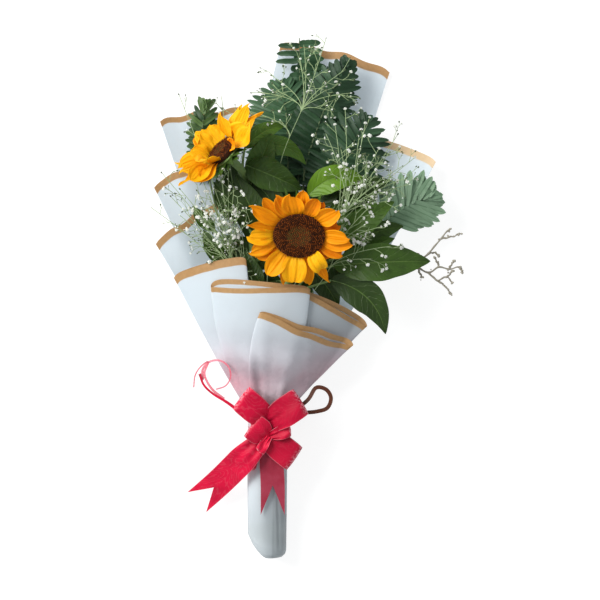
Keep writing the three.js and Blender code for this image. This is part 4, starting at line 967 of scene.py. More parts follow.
def lobe_shade(lobe, across, x):
    """Greyer towards the right, and past the edge of the lobe behind, where fewer layers lie under it."""
    past_edge = UNDER_EDGE_SHADE * ease((x - UNDER_EDGE_X) / 0.0012) * (lobe["level"] == 2)
    return lerp(*lobe["shade"], ease((across + 1) / 2)) + past_edge


def back_sheet(shape, lobe, columns, rows, thickness):
    """A back lobe of the wrap: a single sheet that lies in the trough, its rim a little curled."""
    level = lobe["level"]

    def surface(u, row):
        x, y = lobe_plan(lobe, u, lobe_row(row))
        lift = np.abs(creases(x, y, 1.9 * level)) * ease((y + 0.09) / 0.06)
        curl = 0.0022 * ease((row - 0.82) / 0.18) * (1 + np.sin(4 * u + level))
        low = trough_height(x, y) + BACK_REST + BACK_STEP * level + lift + curl
        return stacked(x, y, lerp(BACK_NECK_Z[level], low, ease(along_wrap(y) / 0.5)))

    scale = BORDER_WIDE / lobe["border"]
    blade(shape, columns, rows, thickness, surface, tone=-lobe["faded"], rim_scale=scale)


def build_handle(shape, sides, rows, fold_depth):
    """The rolled paper handle: an oval tube with soft lengthwise folds, a seam and a closed, slanting end."""
    turn, step = ring_grid(sides, rows)
    steps = np.linspace(0, 1, len(HANDLE_ROWS))
    share, y, wide, tall = (np.interp(step, steps, column) for column in HANDLE_ROWS.T)
    across, along = np.cos(turn), y - HANDLE_FOLD_Y

    def wall(inset):
        body = ease((y - HANDLE_END_Y) / 0.02) * ease((-0.15 - y) / 0.02)
        top = ease(np.sin(turn) * 1.5 + 0.4)
        soft = np.sin(3 * turn + 14 * y + 0.4) + 0.6 * np.sin(7 * turn - 21 * y)
        soft = soft + 0.5 * np.sin(31 * y + 2 * turn)
        fold = -0.35 * fold_depth * (1.6 + soft) * top
        fold = fold - 1.5 * fold_depth * bell(turn, 0.95 + 1.6 * along, 0.1) * top
        seam = -0.00075 * ease((turn - 1.12 - 1.2 * along) / 0.02) * (turn < 4.5)
        radius_x = share * (wide + HANDLE_FULL - inset) + (fold + seam) * body
        radius_z = share * (tall - inset) + (fold + seam) * body
        slant = HANDLE_SLANT * across * share * wide * ease((-0.272 - y) / 0.008)
        slant = slant - HANDLE_CUT * np.clip(-across * share, 0, 1) ** 1.6 * ease((-0.255 - y) / 0.034)
        bulge = 0.0012 * np.cos(2 * turn) * share * ease((-0.28 - y) / 0.006)
        flat = np.maximum(radius_z * np.sin(turn), -(TIE_Z - 0.00015))
        return stacked(TIE_X + radius_x * across, y - slant + bulge, TIE_Z + flat)

    outer, inner = wall(0.0), wall(HANDLE_WALL)[rows // 2 :]
    lining = grid_faces(len(inner) - 1, sides, closed=True) + turn.size
    ring = np.arange(sides)
    mouth = strip(rows * sides + ring, turn.size + (len(inner) - 1) * sides + ring)[:, ::-1]
    points = joined(outer, inner, outer[0].mean(axis=0))
    inside = np.ones(len(points) - turn.size)
    shape.add(
        points,
        [
            np.concatenate([grid_faces(rows, sides, closed=True)[:, ::-1], lining, mouth]),
            fan(len(points) - 1, ring),
        ],
        rim=1.0,
        # Tone, highest near the mouth, paints the ribbon's pink reflection and the stems' shadows there
        tone=np.concatenate([0.75 * ease((outer[..., 1].ravel() + 0.19) / 0.05), 0 * inside]),
        shade=np.concatenate([handle_shade(across, outer[..., 1]).ravel(), 0.6 * inside]),
    )


def handle_shade(across, y):
    """Greyer to the right of the long fold, and a little at the closed end."""
    side = 0.02 + 0.33 * ease((across + 0.75) / 1.2)
    side = side + 0.18 * ease((across - 0.32 - 0.8 * (y - HANDLE_FOLD_Y)) / 0.05)
    return side + 0.24 * ease((-0.215 - y) / 0.05)


# The flower heads


def head_frame(head):
    """Turns places in a head's own frame, with z out of its face, to the bunch's."""
    facing = unit(np.array(head["facing"]))
    second = unit(np.cross(facing, head["across"]))
    first = np.cross(second, facing)

    def place(x, y, z):
        x, y, z = (np.asarray(part, float)[..., None] for part in (x, y, z))
        return head["centre"] + x * first + y * second + z * facing

    return place


def petal_outline(v, point):
    """Half width from foot to tip: a point near 0.4 gives a blunt petal, and 1 a pointed one."""
    rise = 0.45 + 0.55 * np.sin(np.clip(v / 0.5, 0, 1) * math.pi / 2)
    fall = np.cos(np.clip((v - 0.5) / 0.5, 0, 1) * math.pi / 2) ** point * 0.97 + 0.03
    return np.where(v < 0.5, rise, fall)


def spine(tilt, curl, length):
    """A line that starts up by tilt degrees and bends down by curl degrees: a share's out, up and slope."""
    fine = np.linspace(0, 1, 60)
    slope = np.radians(tilt - curl * fine**1.3)
    lines = [np.concatenate([[0], np.cumsum(part(slope))[:-1]]) * length / 59 for part in (np.cos, np.sin)]
    return lambda share: [np.interp(share, fine, line) for line in (*lines, slope)]


def build_petal(head, petal, shape, rng, columns, rows, thickness):
    """One ray petal: cupped, grooved, waved at its edge and bent along its length."""
    angle, length, width, tilt, curl, point, tone, back, roll = petal.values()
    place = head_frame(head)
    turn, roll = math.radians(angle), math.radians(roll)
    oval, wild = head["oval"], head["wild"]
    foot_out = head["disc"] * oval / math.hypot(oval * math.cos(turn), math.sin(turn)) - 0.002
    foot_up = -0.0009 - 0.0013 * back + rng.uniform(-0.0003, 0.0003)
    bend = spine(tilt, curl, length + 0.003)
    twist = math.radians(rng.uniform(-14, 14) * wild)
    sway = rng.uniform(-0.08, 0.08) * length * wild
    cup = rng.uniform(0.16, 0.34)
    wave_phase, wave_size = rng.uniform(0, 6), rng.uniform(0.04, 0.08) * wild
    crook, crook_phase = rng.uniform(0.01, 0.03) * wild * length, rng.uniform(0, 6)
    skew = rng.uniform(-0.14, 0.14) * wild
    ridge = rng.uniform(0.035, 0.06)
    notch = rng.uniform(0.0, 0.06) * wild

    def surface(u, v):
        half = width / 2 * petal_outline(v, point)
        stretch = 1 - notch * (1 - np.abs(u - skew)) ** 2 * ease((v - 0.75) / 0.25) + 0.5 * skew * u * v**3
        out, rise, slope = bend(np.clip(v * stretch / (1 + 0.5 * abs(skew)), 0, 1))
        edge = wave_size * np.sin(7 * v + wave_phase + 2.2 * np.sign(u)) * u * u * ease(v * 2)
        lift = half * (cup * u * u * ease(3 * v) + edge + ridge * np.cos(2.5 * math.pi * u) * ease(v * 4))
        rolled = twist * v + roll * ease(v / 0.6)
        side = half * u * np.cos(rolled) - lift * np.sin(rolled)
        up = half * u * np.sin(rolled) + lift * np.cos(rolled)
        height = foot_up + rise + up * np.cos(slope) + crook * np.sin(6 * v + 2 * u + crook_phase) * v
        return place(*spun(foot_out + out - up * np.sin(slope), side + sway * v * v, turn), height)

    blade(shape, columns, rows, thickness, surface, tone=tone)


def build_disc(head, shape, rng):
    """The disc: a low dome with a hollow in its middle, set with florets in a golden-angle spiral."""
    whole, radius, count = head_frame(head), head["disc"], head["florets"]

    def place(x, y, z):
        return whole(x, np.asarray(y) * head["oval"], z)

    def dome(share):
        return DISC_RIM + DISC_DOME * (1 - share**2) - DISC_HOLLOW * bell(share, 0, DISC_HOLLOW_SHARE)

    profile = [(radius * 0.3, -DISC_DEPTH), (radius, -DISC_DEPTH)]
    profile += [(radius * share, dome(share)) for share in np.linspace(1, 0.02, 14)]
    lathe(shape, place, profile, 48)
    floret = seed_shape()
    for i in range(count):
        share = math.sqrt((i + 0.5) / count)
        x, y = spun(radius * 0.985 * share, 0, i * GOLDEN_TURN)
        spread = 1 + 0.12 * (0.25 + 0.75 * share) * share
        foot = place(x, y, dome(share))
        top = place(x * spread, y * spread, dome(share) + 0.01)
        outer = ease((share - 0.42) / 0.12)
        size = 0.00086 * radius / 0.028 * rng.uniform(0.8, 1.15)
        tall = lerp(0.0008, 0.0019, outer) * rng.uniform(0.7, 1.3)
        tone = rng.uniform(0.0, 0.5) if outer > 0.5 else rng.uniform(0.65, 1.0)
        stamp(shape, floret, foot, axes_along(top - foot, (size, size, tall), rng.uniform(0, 6)), tone=tone)


# The materials of a leafy stem, in order
LEAF_FACE, LEAF_UNDER, GREEN_STEM = range(3)


def build_receptacle(head, shape, rng):
    """The green cup behind the petals, with two rings of pointed bracts."""
    place = head_frame(head)
    rim, count = head["disc"] + 0.002, head["bracts"]
    profile = [(0.0005, -0.014), (0.004, -0.014), (0.45 * rim, -0.0122), (0.8 * rim, -0.0085), (rim, -0.0054)]
    profile += [(rim + 0.0002, -0.0042), (rim * 0.5, -0.0031), (0.0005, -0.0031)]
    lathe(shape, place, profile, 36, kind=GREEN_STEM, tone=0.4)
    for number in range(2 * count):
        layer, i = divmod(number, count)
        turn = FULL_TURN * (i + 0.5 * layer + rng.uniform(-0.15, 0.15)) / count
        length = rng.uniform(0.021, 0.029) - 0.003 * layer
        width = rng.uniform(0.0085, 0.011)
        bend = spine(rng.uniform(2, 14) - 8 * layer, rng.uniform(-10, 22), length)
        twist = rng.uniform(-0.25, 0.25)

        def surface(u, v):
            full = 0.7 + 0.5 * np.sin(math.pi * np.clip(v * 1.4, 0, 1))
            half = width / 2 * (1 - v) ** 0.75 * full + 0.0002
            up = half * (0.25 * u * u + twist * u)
            out, rise, slope = bend(v)
            height = -0.0062 - 0.0012 * layer + rise + up
            return place(*spun(rim - 0.004 + out - up * np.sin(slope), half * u, turn), height)

        blade(shape, 6, 10, 0.0005, surface, kind=LEAF_FACE, tone=rng.uniform(0.05, 0.6))


# Stems, leaves and fern


def stem_path(slot, *ways):
    """The way of a stem: straight through the handle and parallel through the tie, then to its own points."""
    inside = [(TIE_X + slot[0], y, TIE_Z + slot[1]) for y in (STEM_CUT_Y, NECK_LOW_Y, NECK_HIGH_Y)]
    return Path(np.vstack([inside, *ways]))


def stem_shares(path, steps):
    """One long step where the stem is straight in the handle, then even steps."""
    straight = (NECK_LOW_Y - STEM_CUT_Y) / path.length
    return np.concatenate([[0], np.linspace(straight, 1, steps + 1)])


def leaf_outline(v):
    v = np.clip(v, 0, 1)
    return 0.06 + 0.94 * np.sin(math.pi * v**0.8) ** 0.85 * (1 - 0.12 * v) - 0.05 * v


def build_leaf(shape, leaf, start, rng, columns, rows):
    """A broad leaf on its stalk: folded along its rib, quilted between its veins and toothed at its edge."""
    foot, middle, tip, width = (leaf[key] for key in ("foot", "middle", "tip", "width"))
    rib = Bow(foot, 2 * middle - 0.5 * foot - 0.5 * tip, tip)
    stalk = Bow(start, lerp(start, foot, 0.6) - 0.003 * rib.tangent(0.0), foot)
    reach, midrib = np.linspace(0, 1, 8), np.linspace(0, 0.94, 14)
    tube(shape, stalk.at(reach), lerp(0.0017, 0.0012, reach), 8, kind=GREEN_STEM, tone=0.3)
    tube(shape, rib.at(midrib) - 0.0004 * UP, lerp(0.0009, 0.0003, midrib), 6, kind=GREEN_STEM, tone=0.2)
    phase, wild = rng.uniform(0, 6), rng.uniform(0.7, 1.3)
    lean = rng.uniform(-0.12, 0.12)

    def surface(u, v):
        far = np.abs(u)
        half = np.maximum(width / 2 * leaf_outline(v), 0.0002)
        tangent = rib.tangent(v)
        side = unit(np.cross(tangent, UP))
        teeth = 1 + 0.02 * np.sin(23 * v + phase) * far**4
        wave = 0.11 * wild * np.sin(3 * math.pi * v + phase + 1.3 * (u > 0)) * u * u
        ruffle = 0.04 * np.sin(11 * v + 2 * phase + 2 * (u > 0)) * far**3
        fold = 0.27 * far**0.9
        quilt = 0.00025 * np.cos(FULL_TURN * (9 * v - 1.9 * far)) * np.sin(math.pi * far)
        spots = rib.at(v) + side * (half * u * teeth * (1 - 0.06 * far))[..., None]
        return spots + np.cross(side, tangent) * (half * (fold + wave + ruffle + lean * u) - quilt)[..., None]

    blade(shape, columns, rows, 0.0005, surface, kind=LEAF_FACE, under=LEAF_UNDER, tone=leaf["tone"])


def build_leafy_stem(stem, head, shape, rng, columns, rows):
    """A sunflower's stem, with its leaves and the cup and bracts behind its head."""
    place = head_frame(head)
    path = stem_path(stem["slot"], stem["way"], place(0, 0, -0.032), place(0, 0, -0.0125))
    shares = stem_shares(path, 60)
    radii = STEM_RADIUS * lerp(1, 0.86, shares) * (1 + 0.03 * np.sin(40 * shares))
    tube(shape, path.at(shares), radii, 14, kind=GREEN_STEM, along=shares)
    for leaf in stem["leaves"]:
        build_leaf(shape, leaf, path.at(leaf["leaves_at"]), rng, columns, rows)
    build_receptacle(head, shape, rng)


def build_fern(fern, shape, rng, rows):
    """A frond: its stalk and rib, and toothed leaflets in pairs that shorten towards its tip and foot."""
    rib = Path(fern["rib"])
    path = stem_path(fern["slot"], fern["stalk"], fern["rib"][0])
    shares, along = stem_shares(path, 40), np.linspace(0, 1, 30)
    tube(shape, path.at(shares), FERN_STALK_RADIUS, 6, kind=1, along=shares)
    tube(shape, rib.at(along), lerp(FERN_STALK_RADIUS, 0.0005, along), 6, kind=1, along=along)
    pairs = fern["pairs"]
    foot_share, tip_share = fern["ends"]
    for layer in (0, 1):
        for i in range(pairs - 2 * layer):
            share = (i + 0.5 * layer) / (pairs - 1)
            reach = fern["leaflet"] * np.interp(share, [0, 0.35, 0.75, 1], [foot_share, 1, 0.96, tip_share])
            lean = fern["lean"] + FERN_TIP_LEAN * share**2.6 * fern["fan"]
            for hand in (-1, 1):
                at = (i + 0.5 * layer + 0.55 + 0.25 * (hand > 0)) / (pairs + 0.6)
                size = reach * rng.uniform(0.96, 1.03) * (1 - 0.16 * layer)
                width = 1.0
                if not fern["fan"] and hand < 0:
                    torn = np.interp(at, TORN_SHARES, TORN_LENGTHS)
                    size *= torn * (1 - 0.7 * layer * (at > TORN_SHARES[1]))
                    width = np.interp(at, TORN_SHARES, TORN_WIDTHS)
                build_leaflet(shape, rib, at, hand, fern, lean, size, rng, rows, 0.0022 * layer, width)
    for hand, lean, size in FERN_FAN if fern["fan"] else ():
        build_leaflet(shape, rib, 0.99, hand, fern, lean, size * tip_share * fern["leaflet"], rng, rows)


def build_leaflet(shape, rib, at, hand, fern, lean, reach, rng, rows, drop=0.0, width=1.0):
    """One leaflet of a frond, on the left or right hand of the rib, laid over the next one like a shingle."""
    tangent = rib.tangent(at)
    side = unit(np.cross(tangent, UP)) * hand
    normal = np.cross(side, tangent) * hand
    turn = math.radians(lean + rng.uniform(-2.5, 2.5))
    out = side * math.cos(turn) + tangent * math.sin(turn)
    across = tangent * math.cos(turn) - side * math.sin(turn)
    foot = rib.at(at) - UP * drop
    half_width = width * fern["spread"] * rib.length / (fern["pairs"] + 1) / 2 * rng.uniform(0.94, 1.1)
    droop, hook, roll = rng.uniform(0.3, 1.8), rng.uniform(-0.03, 0.07), rng.uniform(0.1, 0.5)
    phase, teeth = rng.uniform(0, 6), max(4, int(reach / 0.0024))

    def surface(u, v):
        body = np.minimum(1, 0.7 + 2.2 * v) * (1 - 0.1 * v) * np.clip(1 - v**7, 0, 1) ** 0.6
        notch = 1 - 0.1 * (0.5 + 0.5 * np.cos(FULL_TURN * teeth * v + phase)) * np.abs(u) ** 3
        half = half_width * np.maximum(body * notch, 0.05)
        lift = 0.22 * half * np.abs(u) - droop * v**2 * reach**1.5 + roll * half * u
        lift = lift + 0.0005 * np.sin(8 * v + phase)
        spot = foot + out * (v * reach)[..., None] + across * (half * u + hook * reach * v * v)[..., None]
        return spot + normal * lift[..., None]

    pale = 0.0 if fern["fan"] else 0.6 * (hand > 0) * at**3
    tone = np.clip(fern["tone"] + pale + rng.uniform(-0.25, 0.25), 0, 1)
    blade(shape, 6, rows, 0.0004, surface, tone=tone)


# Sprays of baby's breath, and the twig


def branch_bow(path, shares, tip, parting):
    """The branch to a tip leaves the stem where it can part from it at about 45 degrees."""
    gaps = np.linalg.norm(path.at(shares) - tip, axis=1)
    nearest = int(np.argmin(gaps))
    wanted = shares[nearest] - parting * gaps[nearest] / path.length
    at = shares[-5:][np.argmin(np.abs(shares[-5:] - wanted))]
    start = path.at(at)
    return Bow(start, start + path.tangent(at) * 0.3 * np.linalg.norm(tip - start), tip)


# The whorls of a blossom's petals: how many, how far out and up from its middle, and how long
BLOSSOM_WHORLS = ((6, 0.62, 0.1, 0.5), (5, 0.4, 0.42, 0.42), (3, 0.15, 0.66, 0.34))


def blossom_model(rng):
    """A double blossom: three whorls of small cupped petals, as one set of points and faces."""
    points, quads, triangles = [], [], []
    body, groups = seed_shape(5, 2)
    for whorl, (number, out, up, size) in enumerate(BLOSSOM_WHORLS):
        for i in range(number):
            x, y = spun(1, 0, FULL_TURN * (i + 0.5 * whorl) / number + rng.uniform(-0.2, 0.2))
            wide = (size * 0.7, size * 0.32, size)
            axes = axes_along(np.array([x, y, 0.35 + 0.5 * whorl]), wide, rng.uniform(-0.4, 0.4))
            for faces, group in zip((quads, triangles), groups):
                faces.append(group + len(points) * len(body))
            points.append(body @ axes + np.array([out * x, out * y, up]))
    return np.concatenate(points), [np.concatenate(quads), np.concatenate(triangles)]


# The materials of a spray, in order
SPRAY_STEM, SPRAY_BLOSSOM, SPRAY_BUD = range(3)
SHOOT_RADIUS = 0.00031


def build_spray(spray, shape, seed_shift=0):
    """A spray of baby's breath: a stem, branches that fork twice, and blossoms or buds at their ends."""
    rng = np.random.default_rng(spray["seed"] + seed_shift)
    path = stem_path(spray["slot"], spray["way"])
    shares = stem_shares(path, 50)
    tube(shape, path.at(shares), lerp(0.0008, 0.0003, shares), 6, kind=SPRAY_STEM, tone=0.1, along=shares)
    blossoms = [blossom_model(rng) for _ in range(3)]
    bud = seed_shape()
    rings = stem_shares(path, 12)[1:]

    def end_in_flower(spot, direction):
        if rng.random() < spray["bloom"]:
            size = rng.uniform(0.0012, 0.0023)
            axes = axes_along(direction + 0.7 * UP, (size, size, size), rng.uniform(0, 6))
            stamp(shape, blossoms[rng.integers(3)], spot, axes, kind=SPRAY_BLOSSOM)
            return
        size = rng.uniform(0.0005, 0.0009)
        kind = SPRAY_BUD if rng.random() < 0.75 else SPRAY_BLOSSOM
        stamp(shape, bud, spot, axes_along(direction, (size, size, size * 1.6)), kind=kind)

    def twiglet(start, direction, length, radius, depth):
        """A thin shoot that forks until depth is 0, and then ends in a flower."""
        bend = unit(rng.normal(size=3)) * 0.3 + 0.15 * UP
        end = start + unit(direction + bend * 0.5) * length
        shoot = Bow(start, start + direction * length * 0.55, end)
        reach = np.linspace(0, 1, 5)
        tube(shape, shoot.at(reach), lerp(radius, radius * 0.8, reach), 4, tone=0.1)
        ahead = shoot.tangent(1.0)
        if depth == 0:
            end_in_flower(end, ahead)
            return
        for _ in range(2 if rng.random() < 0.65 else 3):
            turn = unit(ahead + unit(rng.normal(size=3)) * rng.uniform(0.5, 0.85))
            twiglet(end, turn, length * rng.uniform(0.5, 0.8), radius * 0.8, depth - 1)

    for tip in spray["tips"]:
        branch = branch_bow(path, rings, tip, spray["parting"])
        reach = np.linspace(0, 1, 12)
        tube(shape, branch.at(reach), lerp(0.00045, 0.00034, reach), 5, tone=0.1)
        end_in_flower(branch.at(1.0), branch.tangent(1.0))
        for at in np.linspace(spray["bare"], 0.95, spray["shoots"]):
            turn = unit(branch.tangent(at) + unit(rng.normal(size=3) * np.array([1, 1, 0.5])) * 0.95)
            length = rng.uniform(0.007, 0.013)
            twiglet(branch.at(at), turn, length, SHOOT_RADIUS, 1 + (rng.random() < 0.4))


def build_twig(shape):
    """The dry twig: a knobbly stem and forked branches with small dark nodules and buds."""
    rng = np.random.default_rng(TWIG["seed"])
    path = stem_path(TWIG["slot"], TWIG["way"])
    shares = stem_shares(path, 70)
    tube(shape, path.at(shares), lerp(TWIG_RADIUS, 0.0007, shares), 7, along=shares)
    knob = seed_shape()
    for way in TWIG_BRANCHES:
        branch = Path(way)
        reach = np.linspace(0, 1, 24)
        bend = np.sin(np.outer(reach, rng.uniform(9, 16, 3)) + rng.uniform(0, 6, 3)) * 0.0006
        swell = 1 + 0.16 * np.sin(np.cumsum(rng.uniform(0.5, 2.2, 24)))
        line = branch.at(reach) + bend * np.sin(math.pi * reach)[:, None]
        tube(shape, line, lerp(0.0012, 0.0008, reach) * swell, 6)
        for at in (0.35, 0.7, *[0.97] * 5):
            size = rng.uniform(0.0007, 0.0014)
            spot = branch.at(at) + rng.normal(size=3) * 0.0009
            stamp(shape, knob, spot, axes_along(rng.normal(size=3), (size, size, size * 1.3)), kind=1)


# The ribbon


def build_loop(shape, loop, width, thickness):
    """A loop of ribbon: out from the knot along its lower run, round its end and back along the upper run."""
    low, high, foot, phase = (loop[key] for key in ("low", "high", "foot", "phase"))
    start = np.array([*loop["start"], KNOT[2]])
    out = np.array([*loop["end"], KNOT[2]]) - start
    reach = np.linalg.norm(out)
    out = out / reach
    across = np.cross(out, UP)
    shares = (0, 0.45, 0.93, 1, 0.93, 0.45, 0)
    upper = (high, lerp(foot + 0.005, high, 0.75), foot + 0.004)
    heights = (foot, lerp(foot, low, 0.55), low, (low + high) / 2, *upper)
    side = Path([(share * reach, 0, z) for share, z in zip(shares, heights)])

    def surface(u, v):
        spot = side.by_turn(v)
        share = spot[..., 0] / reach
        half = width * loop["wide"] * lerp(loop["pinch"], 1, ease(share / 0.6)) / 2
        gather = (1 - ease(share / 0.7)) * (0.001 * np.cos(8 * u + phase) + 0.0006 * np.cos(15 * u - phase))
        ripple = 0.0009 * np.sin(2.3 * u + 5 * share + phase) * ease(share * 2)
        ripple = ripple + 0.0005 * np.sin(6.5 * u * share + 2 * phase)
        sag = 0.0012 * u * u * share * np.where(v > 0.5, -1, 0.3)
        bulge = (0.001 * (1 - u * u) + 0.0012 * math.sin(2 * phase) * u) * share
        flat = start + out * (spot[..., 0] + bulge)[..., None]
        flat = flat + across * (half * u * (1 - 0.03 * bell(share, 1, 0.08)))[..., None]
        flat[..., 2] = spot[..., 2] + sag + gather + ripple
        return flat

    # Where the loop folds over at its end: pale there, part wear and part painted highlight
    def wear_and_highlight(u, v):
        return bell(side.by_turn(v)[..., 0] / reach, 1, 0.06)

    blade(shape, 20, 52, thickness, surface, tone=loop["tone"], shade=wear_and_highlight)


def build_tail(shape, tail, width, thickness):
    """A tail of ribbon, with a V cut out of its end."""
    path = Path(tail["way"])

    def surface(u, v):
        reach = v * (path.length - tail["notch"] * (1 - np.abs(u)))
        share = np.clip(reach / path.length, 0, 1)
        half = lerp(RIBBON_PINCH, width * tail["wide"], ease(share / 0.35)) / 2
        gather = (1 - ease(share / 0.5)) * 0.0014 * np.cos(8 * u)
        ripple = 0.0011 * np.sin(9 * share + 1.4 * u) * ease((0.92 - share) / 0.2)
        spot = path.at(share) + unit(np.cross(path.tangent(share), UP)) * (half * u)[..., None]
        spot[..., 2] += gather + ripple
        return spot

    blade(shape, 18, 40, thickness, surface, kind=tail["kind"], tone=tail["tone"])


def build_pull(shape, pull):
    """A thin pull ribbon that leans over and narrows as it curls."""
    path = Path(pull["way"])

    def surface(u, v):
        side = unit(np.cross(path.tangent(v), UP))
        lean = (0.35 + 0.35 * np.sin(5 * v + 0.6))[..., None]
        reach = (u * lerp(pull["broad"], pull["narrow"], ease(v / 0.8)) / 2)[..., None]
        return path.at(v) + reach * (side * np.cos(lean) + UP * np.sin(lean))

    blade(shape, 4, pull["steps"], 0.0004, surface, kind=pull["kind"], tone=pull["tone"])


def build_band(shape, thickness):
    """The ribbon wound round the neck, in soft folds."""
    sides, rows = 72, 12
    turn, row = ring_grid(sides, rows)
    fold = 0.0005 * np.sin(15 * row + 3 * turn) + 0.0003 * np.sin(27 * row - 2 * turn)

    def wall(inset):
        edge = 1 - 0.03 * np.abs(2 * row - 1) ** 6
        wide, tall = (half * edge - 0.0006 + fold - inset for half in BAND_HALF)
        y = lerp(BAND_LOW_Y, BAND_HIGH_Y, row)
        return stacked(TIE_X + wide * np.cos(turn), y, TIE_Z + tall * np.sin(turn))

    skin = grid_faces(rows, sides, closed=True)
    low, size = np.arange(sides), turn.size
    high = low + rows * sides
    edges = [strip(low, low + size), strip(high, high + size)[:, ::-1]]
    faces = [np.concatenate([skin[:, ::-1], skin + size, *edges])]
    # Tone 0.55 paints shade on the band, under the loops
    shape.add(joined(wall(0.0), wall(thickness)), faces, tone=0.55, along=twice(row))


def build_knot(shape):
    """The knot: a gathered fold of ribbon over the middle of the bow."""
    columns, rows = 36, 20
    turn, step = ring_grid(columns, rows, 0.02, math.pi - 0.02)
    ridge = (1 + 0.06 * np.cos(9 * turn + 3 * np.cos(step)) + 0.04 * np.cos(17 * turn)) * np.sin(step) ** 0.75
    x, y = spun(0.0135 * ridge * np.cos(turn), 0.0115 * np.cos(step), math.radians(24))
    points = KNOT + stacked(x, y, 0.0085 * ridge * np.sin(turn) + 0.001)
    ends = points[[0, -1]].mean(axis=1)
    # Tone 0.5 paints shade on the knot, in the middle of the bow
    shape.add(joined(points, ends), capped_faces(rows, columns), tone=0.5, along=0.5)


# Settings, in the sidebar


class BunchWrapSettings(bpy.types.PropertyGroup):
    paper: bpy.props.FloatProperty(
        name="Paper", description="Thickness of a sheet", default=0.0004, min=0.0001, max=0.002, unit="LENGTH"
    )
    see_through: bpy.props.FloatProperty(
        name="See-through", description="Share of light that passes straight through", default=0.1, min=0,
        max=1, subtype="FACTOR",
    )
    fold_depth: bpy.props.FloatProperty(
        name="Fold depth", description="Depth of the handle's folds", default=0.0009, min=0, max=0.003,
        unit="LENGTH",
    )
    columns: bpy.props.IntProperty(
        name="Columns", description="Quads across a lobe", default=28, min=4, max=80
    )
    rows: bpy.props.IntProperty(name="Rows", description="Quads along a lobe", default=56, min=8, max=160)


class BunchFlowerSettings(bpy.types.PropertyGroup):
    petal: bpy.props.FloatProperty(
        name="Petal", description="Thickness of a ray petal", default=0.0005, min=0.0001, max=0.002,
        unit="LENGTH",
    )
    columns: bpy.props.IntProperty(
        name="Columns", description="Quads across a petal", default=14, min=4, max=40
    )
    rows: bpy.props.IntProperty(name="Rows", description="Quads along a petal", default=20, min=4, max=60)


class BunchGreenerySettings(bpy.types.PropertyGroup):
    leaf_columns: bpy.props.IntProperty(
        name="Leaf columns", description="Quads across a leaf", default=22, min=4
    )
    leaf_rows: bpy.props.IntProperty(name="Leaf rows", description="Quads along a leaf", default=48, min=8)
    leaflet_rows: bpy.props.IntProperty(
        name="Leaflet rows", description="Quads along a leaflet", default=14, min=4
    )
    spray_seed: bpy.props.IntProperty(
        name="Spray seed", description="Changes how the sprays branch", default=0
    )


class BunchRibbonSettings(bpy.types.PropertyGroup):
    width: bpy.props.FloatProperty(
        name="Width", description="Width of the ribbon", default=RIBBON_WIDTH, min=0.01, max=0.06,
        unit="LENGTH",
    )
    thickness: bpy.props.FloatProperty(
        name="Thickness", description="Thickness of the ribbon", default=0.0005, min=0.0001, max=0.002,
        unit="LENGTH",
    )


class BunchStageSettings(bpy.types.PropertyGroup):
    daylight: bpy.props.FloatProperty(
        name="Daylight", description="Strength of the light from all round", default=0.62, min=0, max=5
    )
    key: bpy.props.FloatProperty(
        name="Key light", description="Power of the large soft light", default=66.0, min=0, max=500,
        unit="POWER"
    )
    distance: bpy.props.FloatProperty(
        name="Camera distance", description="How far the camera is above the bunch", default=2.4, min=0.5,
        max=10, unit="LENGTH",
    )
    frame_width: bpy.props.FloatProperty(
        name="Frame width", description="Width of the picture at the bunch", default=0.66, min=0.1, max=5,
        unit="LENGTH",
    )


# One operator for each piece or group of like pieces


class BUNCH_OT_wrap_paper(bpy.types.Operator):
    """Builds the doubled front lobes and the single back sheets of the wrap"""

    bl_idname = "bunch.wrap_paper"
    bl_label = "Wrapping paper"

    def execute(self, context):
        wrap = context.scene.bunch_wrap
        paper = paper_finish("frosted paper", wrap.see_through)
        for lobes, build, ending in ((POCKETS, sleeve, "_fold"), (SHEETS, back_sheet, "_sheet")):
            for lobe in lobes:
                shape = Shape()
                build(shape, lobe, wrap.columns, wrap.rows, wrap.paper)
                shape.build(lobe["name"] + ending, [lobe["name"]], [paper], "wrap_paper")
        return {"FINISHED"}


class BUNCH_OT_handle(bpy.types.Operator):
    """Builds the rolled paper handle and finishes the tape that binds the stems inside it"""

    bl_idname = "bunch.handle"
    bl_label = "Handle and binding"

    def execute(self, context):
        shape = Shape()
        build_handle(shape, 96, 64, context.scene.bunch_wrap.fold_depth)
        paper = paper_finish("rolled paper", 0.04)
        shape.build("rolled_paper_handle", ["paper_handle"], [paper], "wrap_paper", sharp=60)
        tape = FRAME_NODES["binding_tape"]
        tape.data.materials.clear()
        tape.data.materials.append(plain_finish("florist tape", (0.05, 0.12, 0.03), 0.45))
        return {"FINISHED"}


class BUNCH_OT_sunflowers(bpy.types.Operator):
    """Builds the ray petals and the disc of each sunflower"""

    bl_idname = "bunch.sunflowers"
    bl_label = "Sunflower heads"

    def execute(self, context):
        flower = context.scene.bunch_flower
        petal_skin, florets = petal_finish(), disc_finish()
        for head in HEADS:
            rng = np.random.default_rng(head["seed"])
            petals, disc = Shape(), Shape()
            for petal in head["petals"]:
                build_petal(head, petal, petals, rng, flower.columns, flower.rows, flower.petal)
            build_disc(head, disc, rng)
            petals.build(head["name"] + "_rays", [head["name"] + "_petals"], [petal_skin], "petal_orange",
                sharp=70)
            disc.build(head["name"] + "_florets", [head["name"] + "_disc"], [florets], "disc_brown")
        return {"FINISHED"}


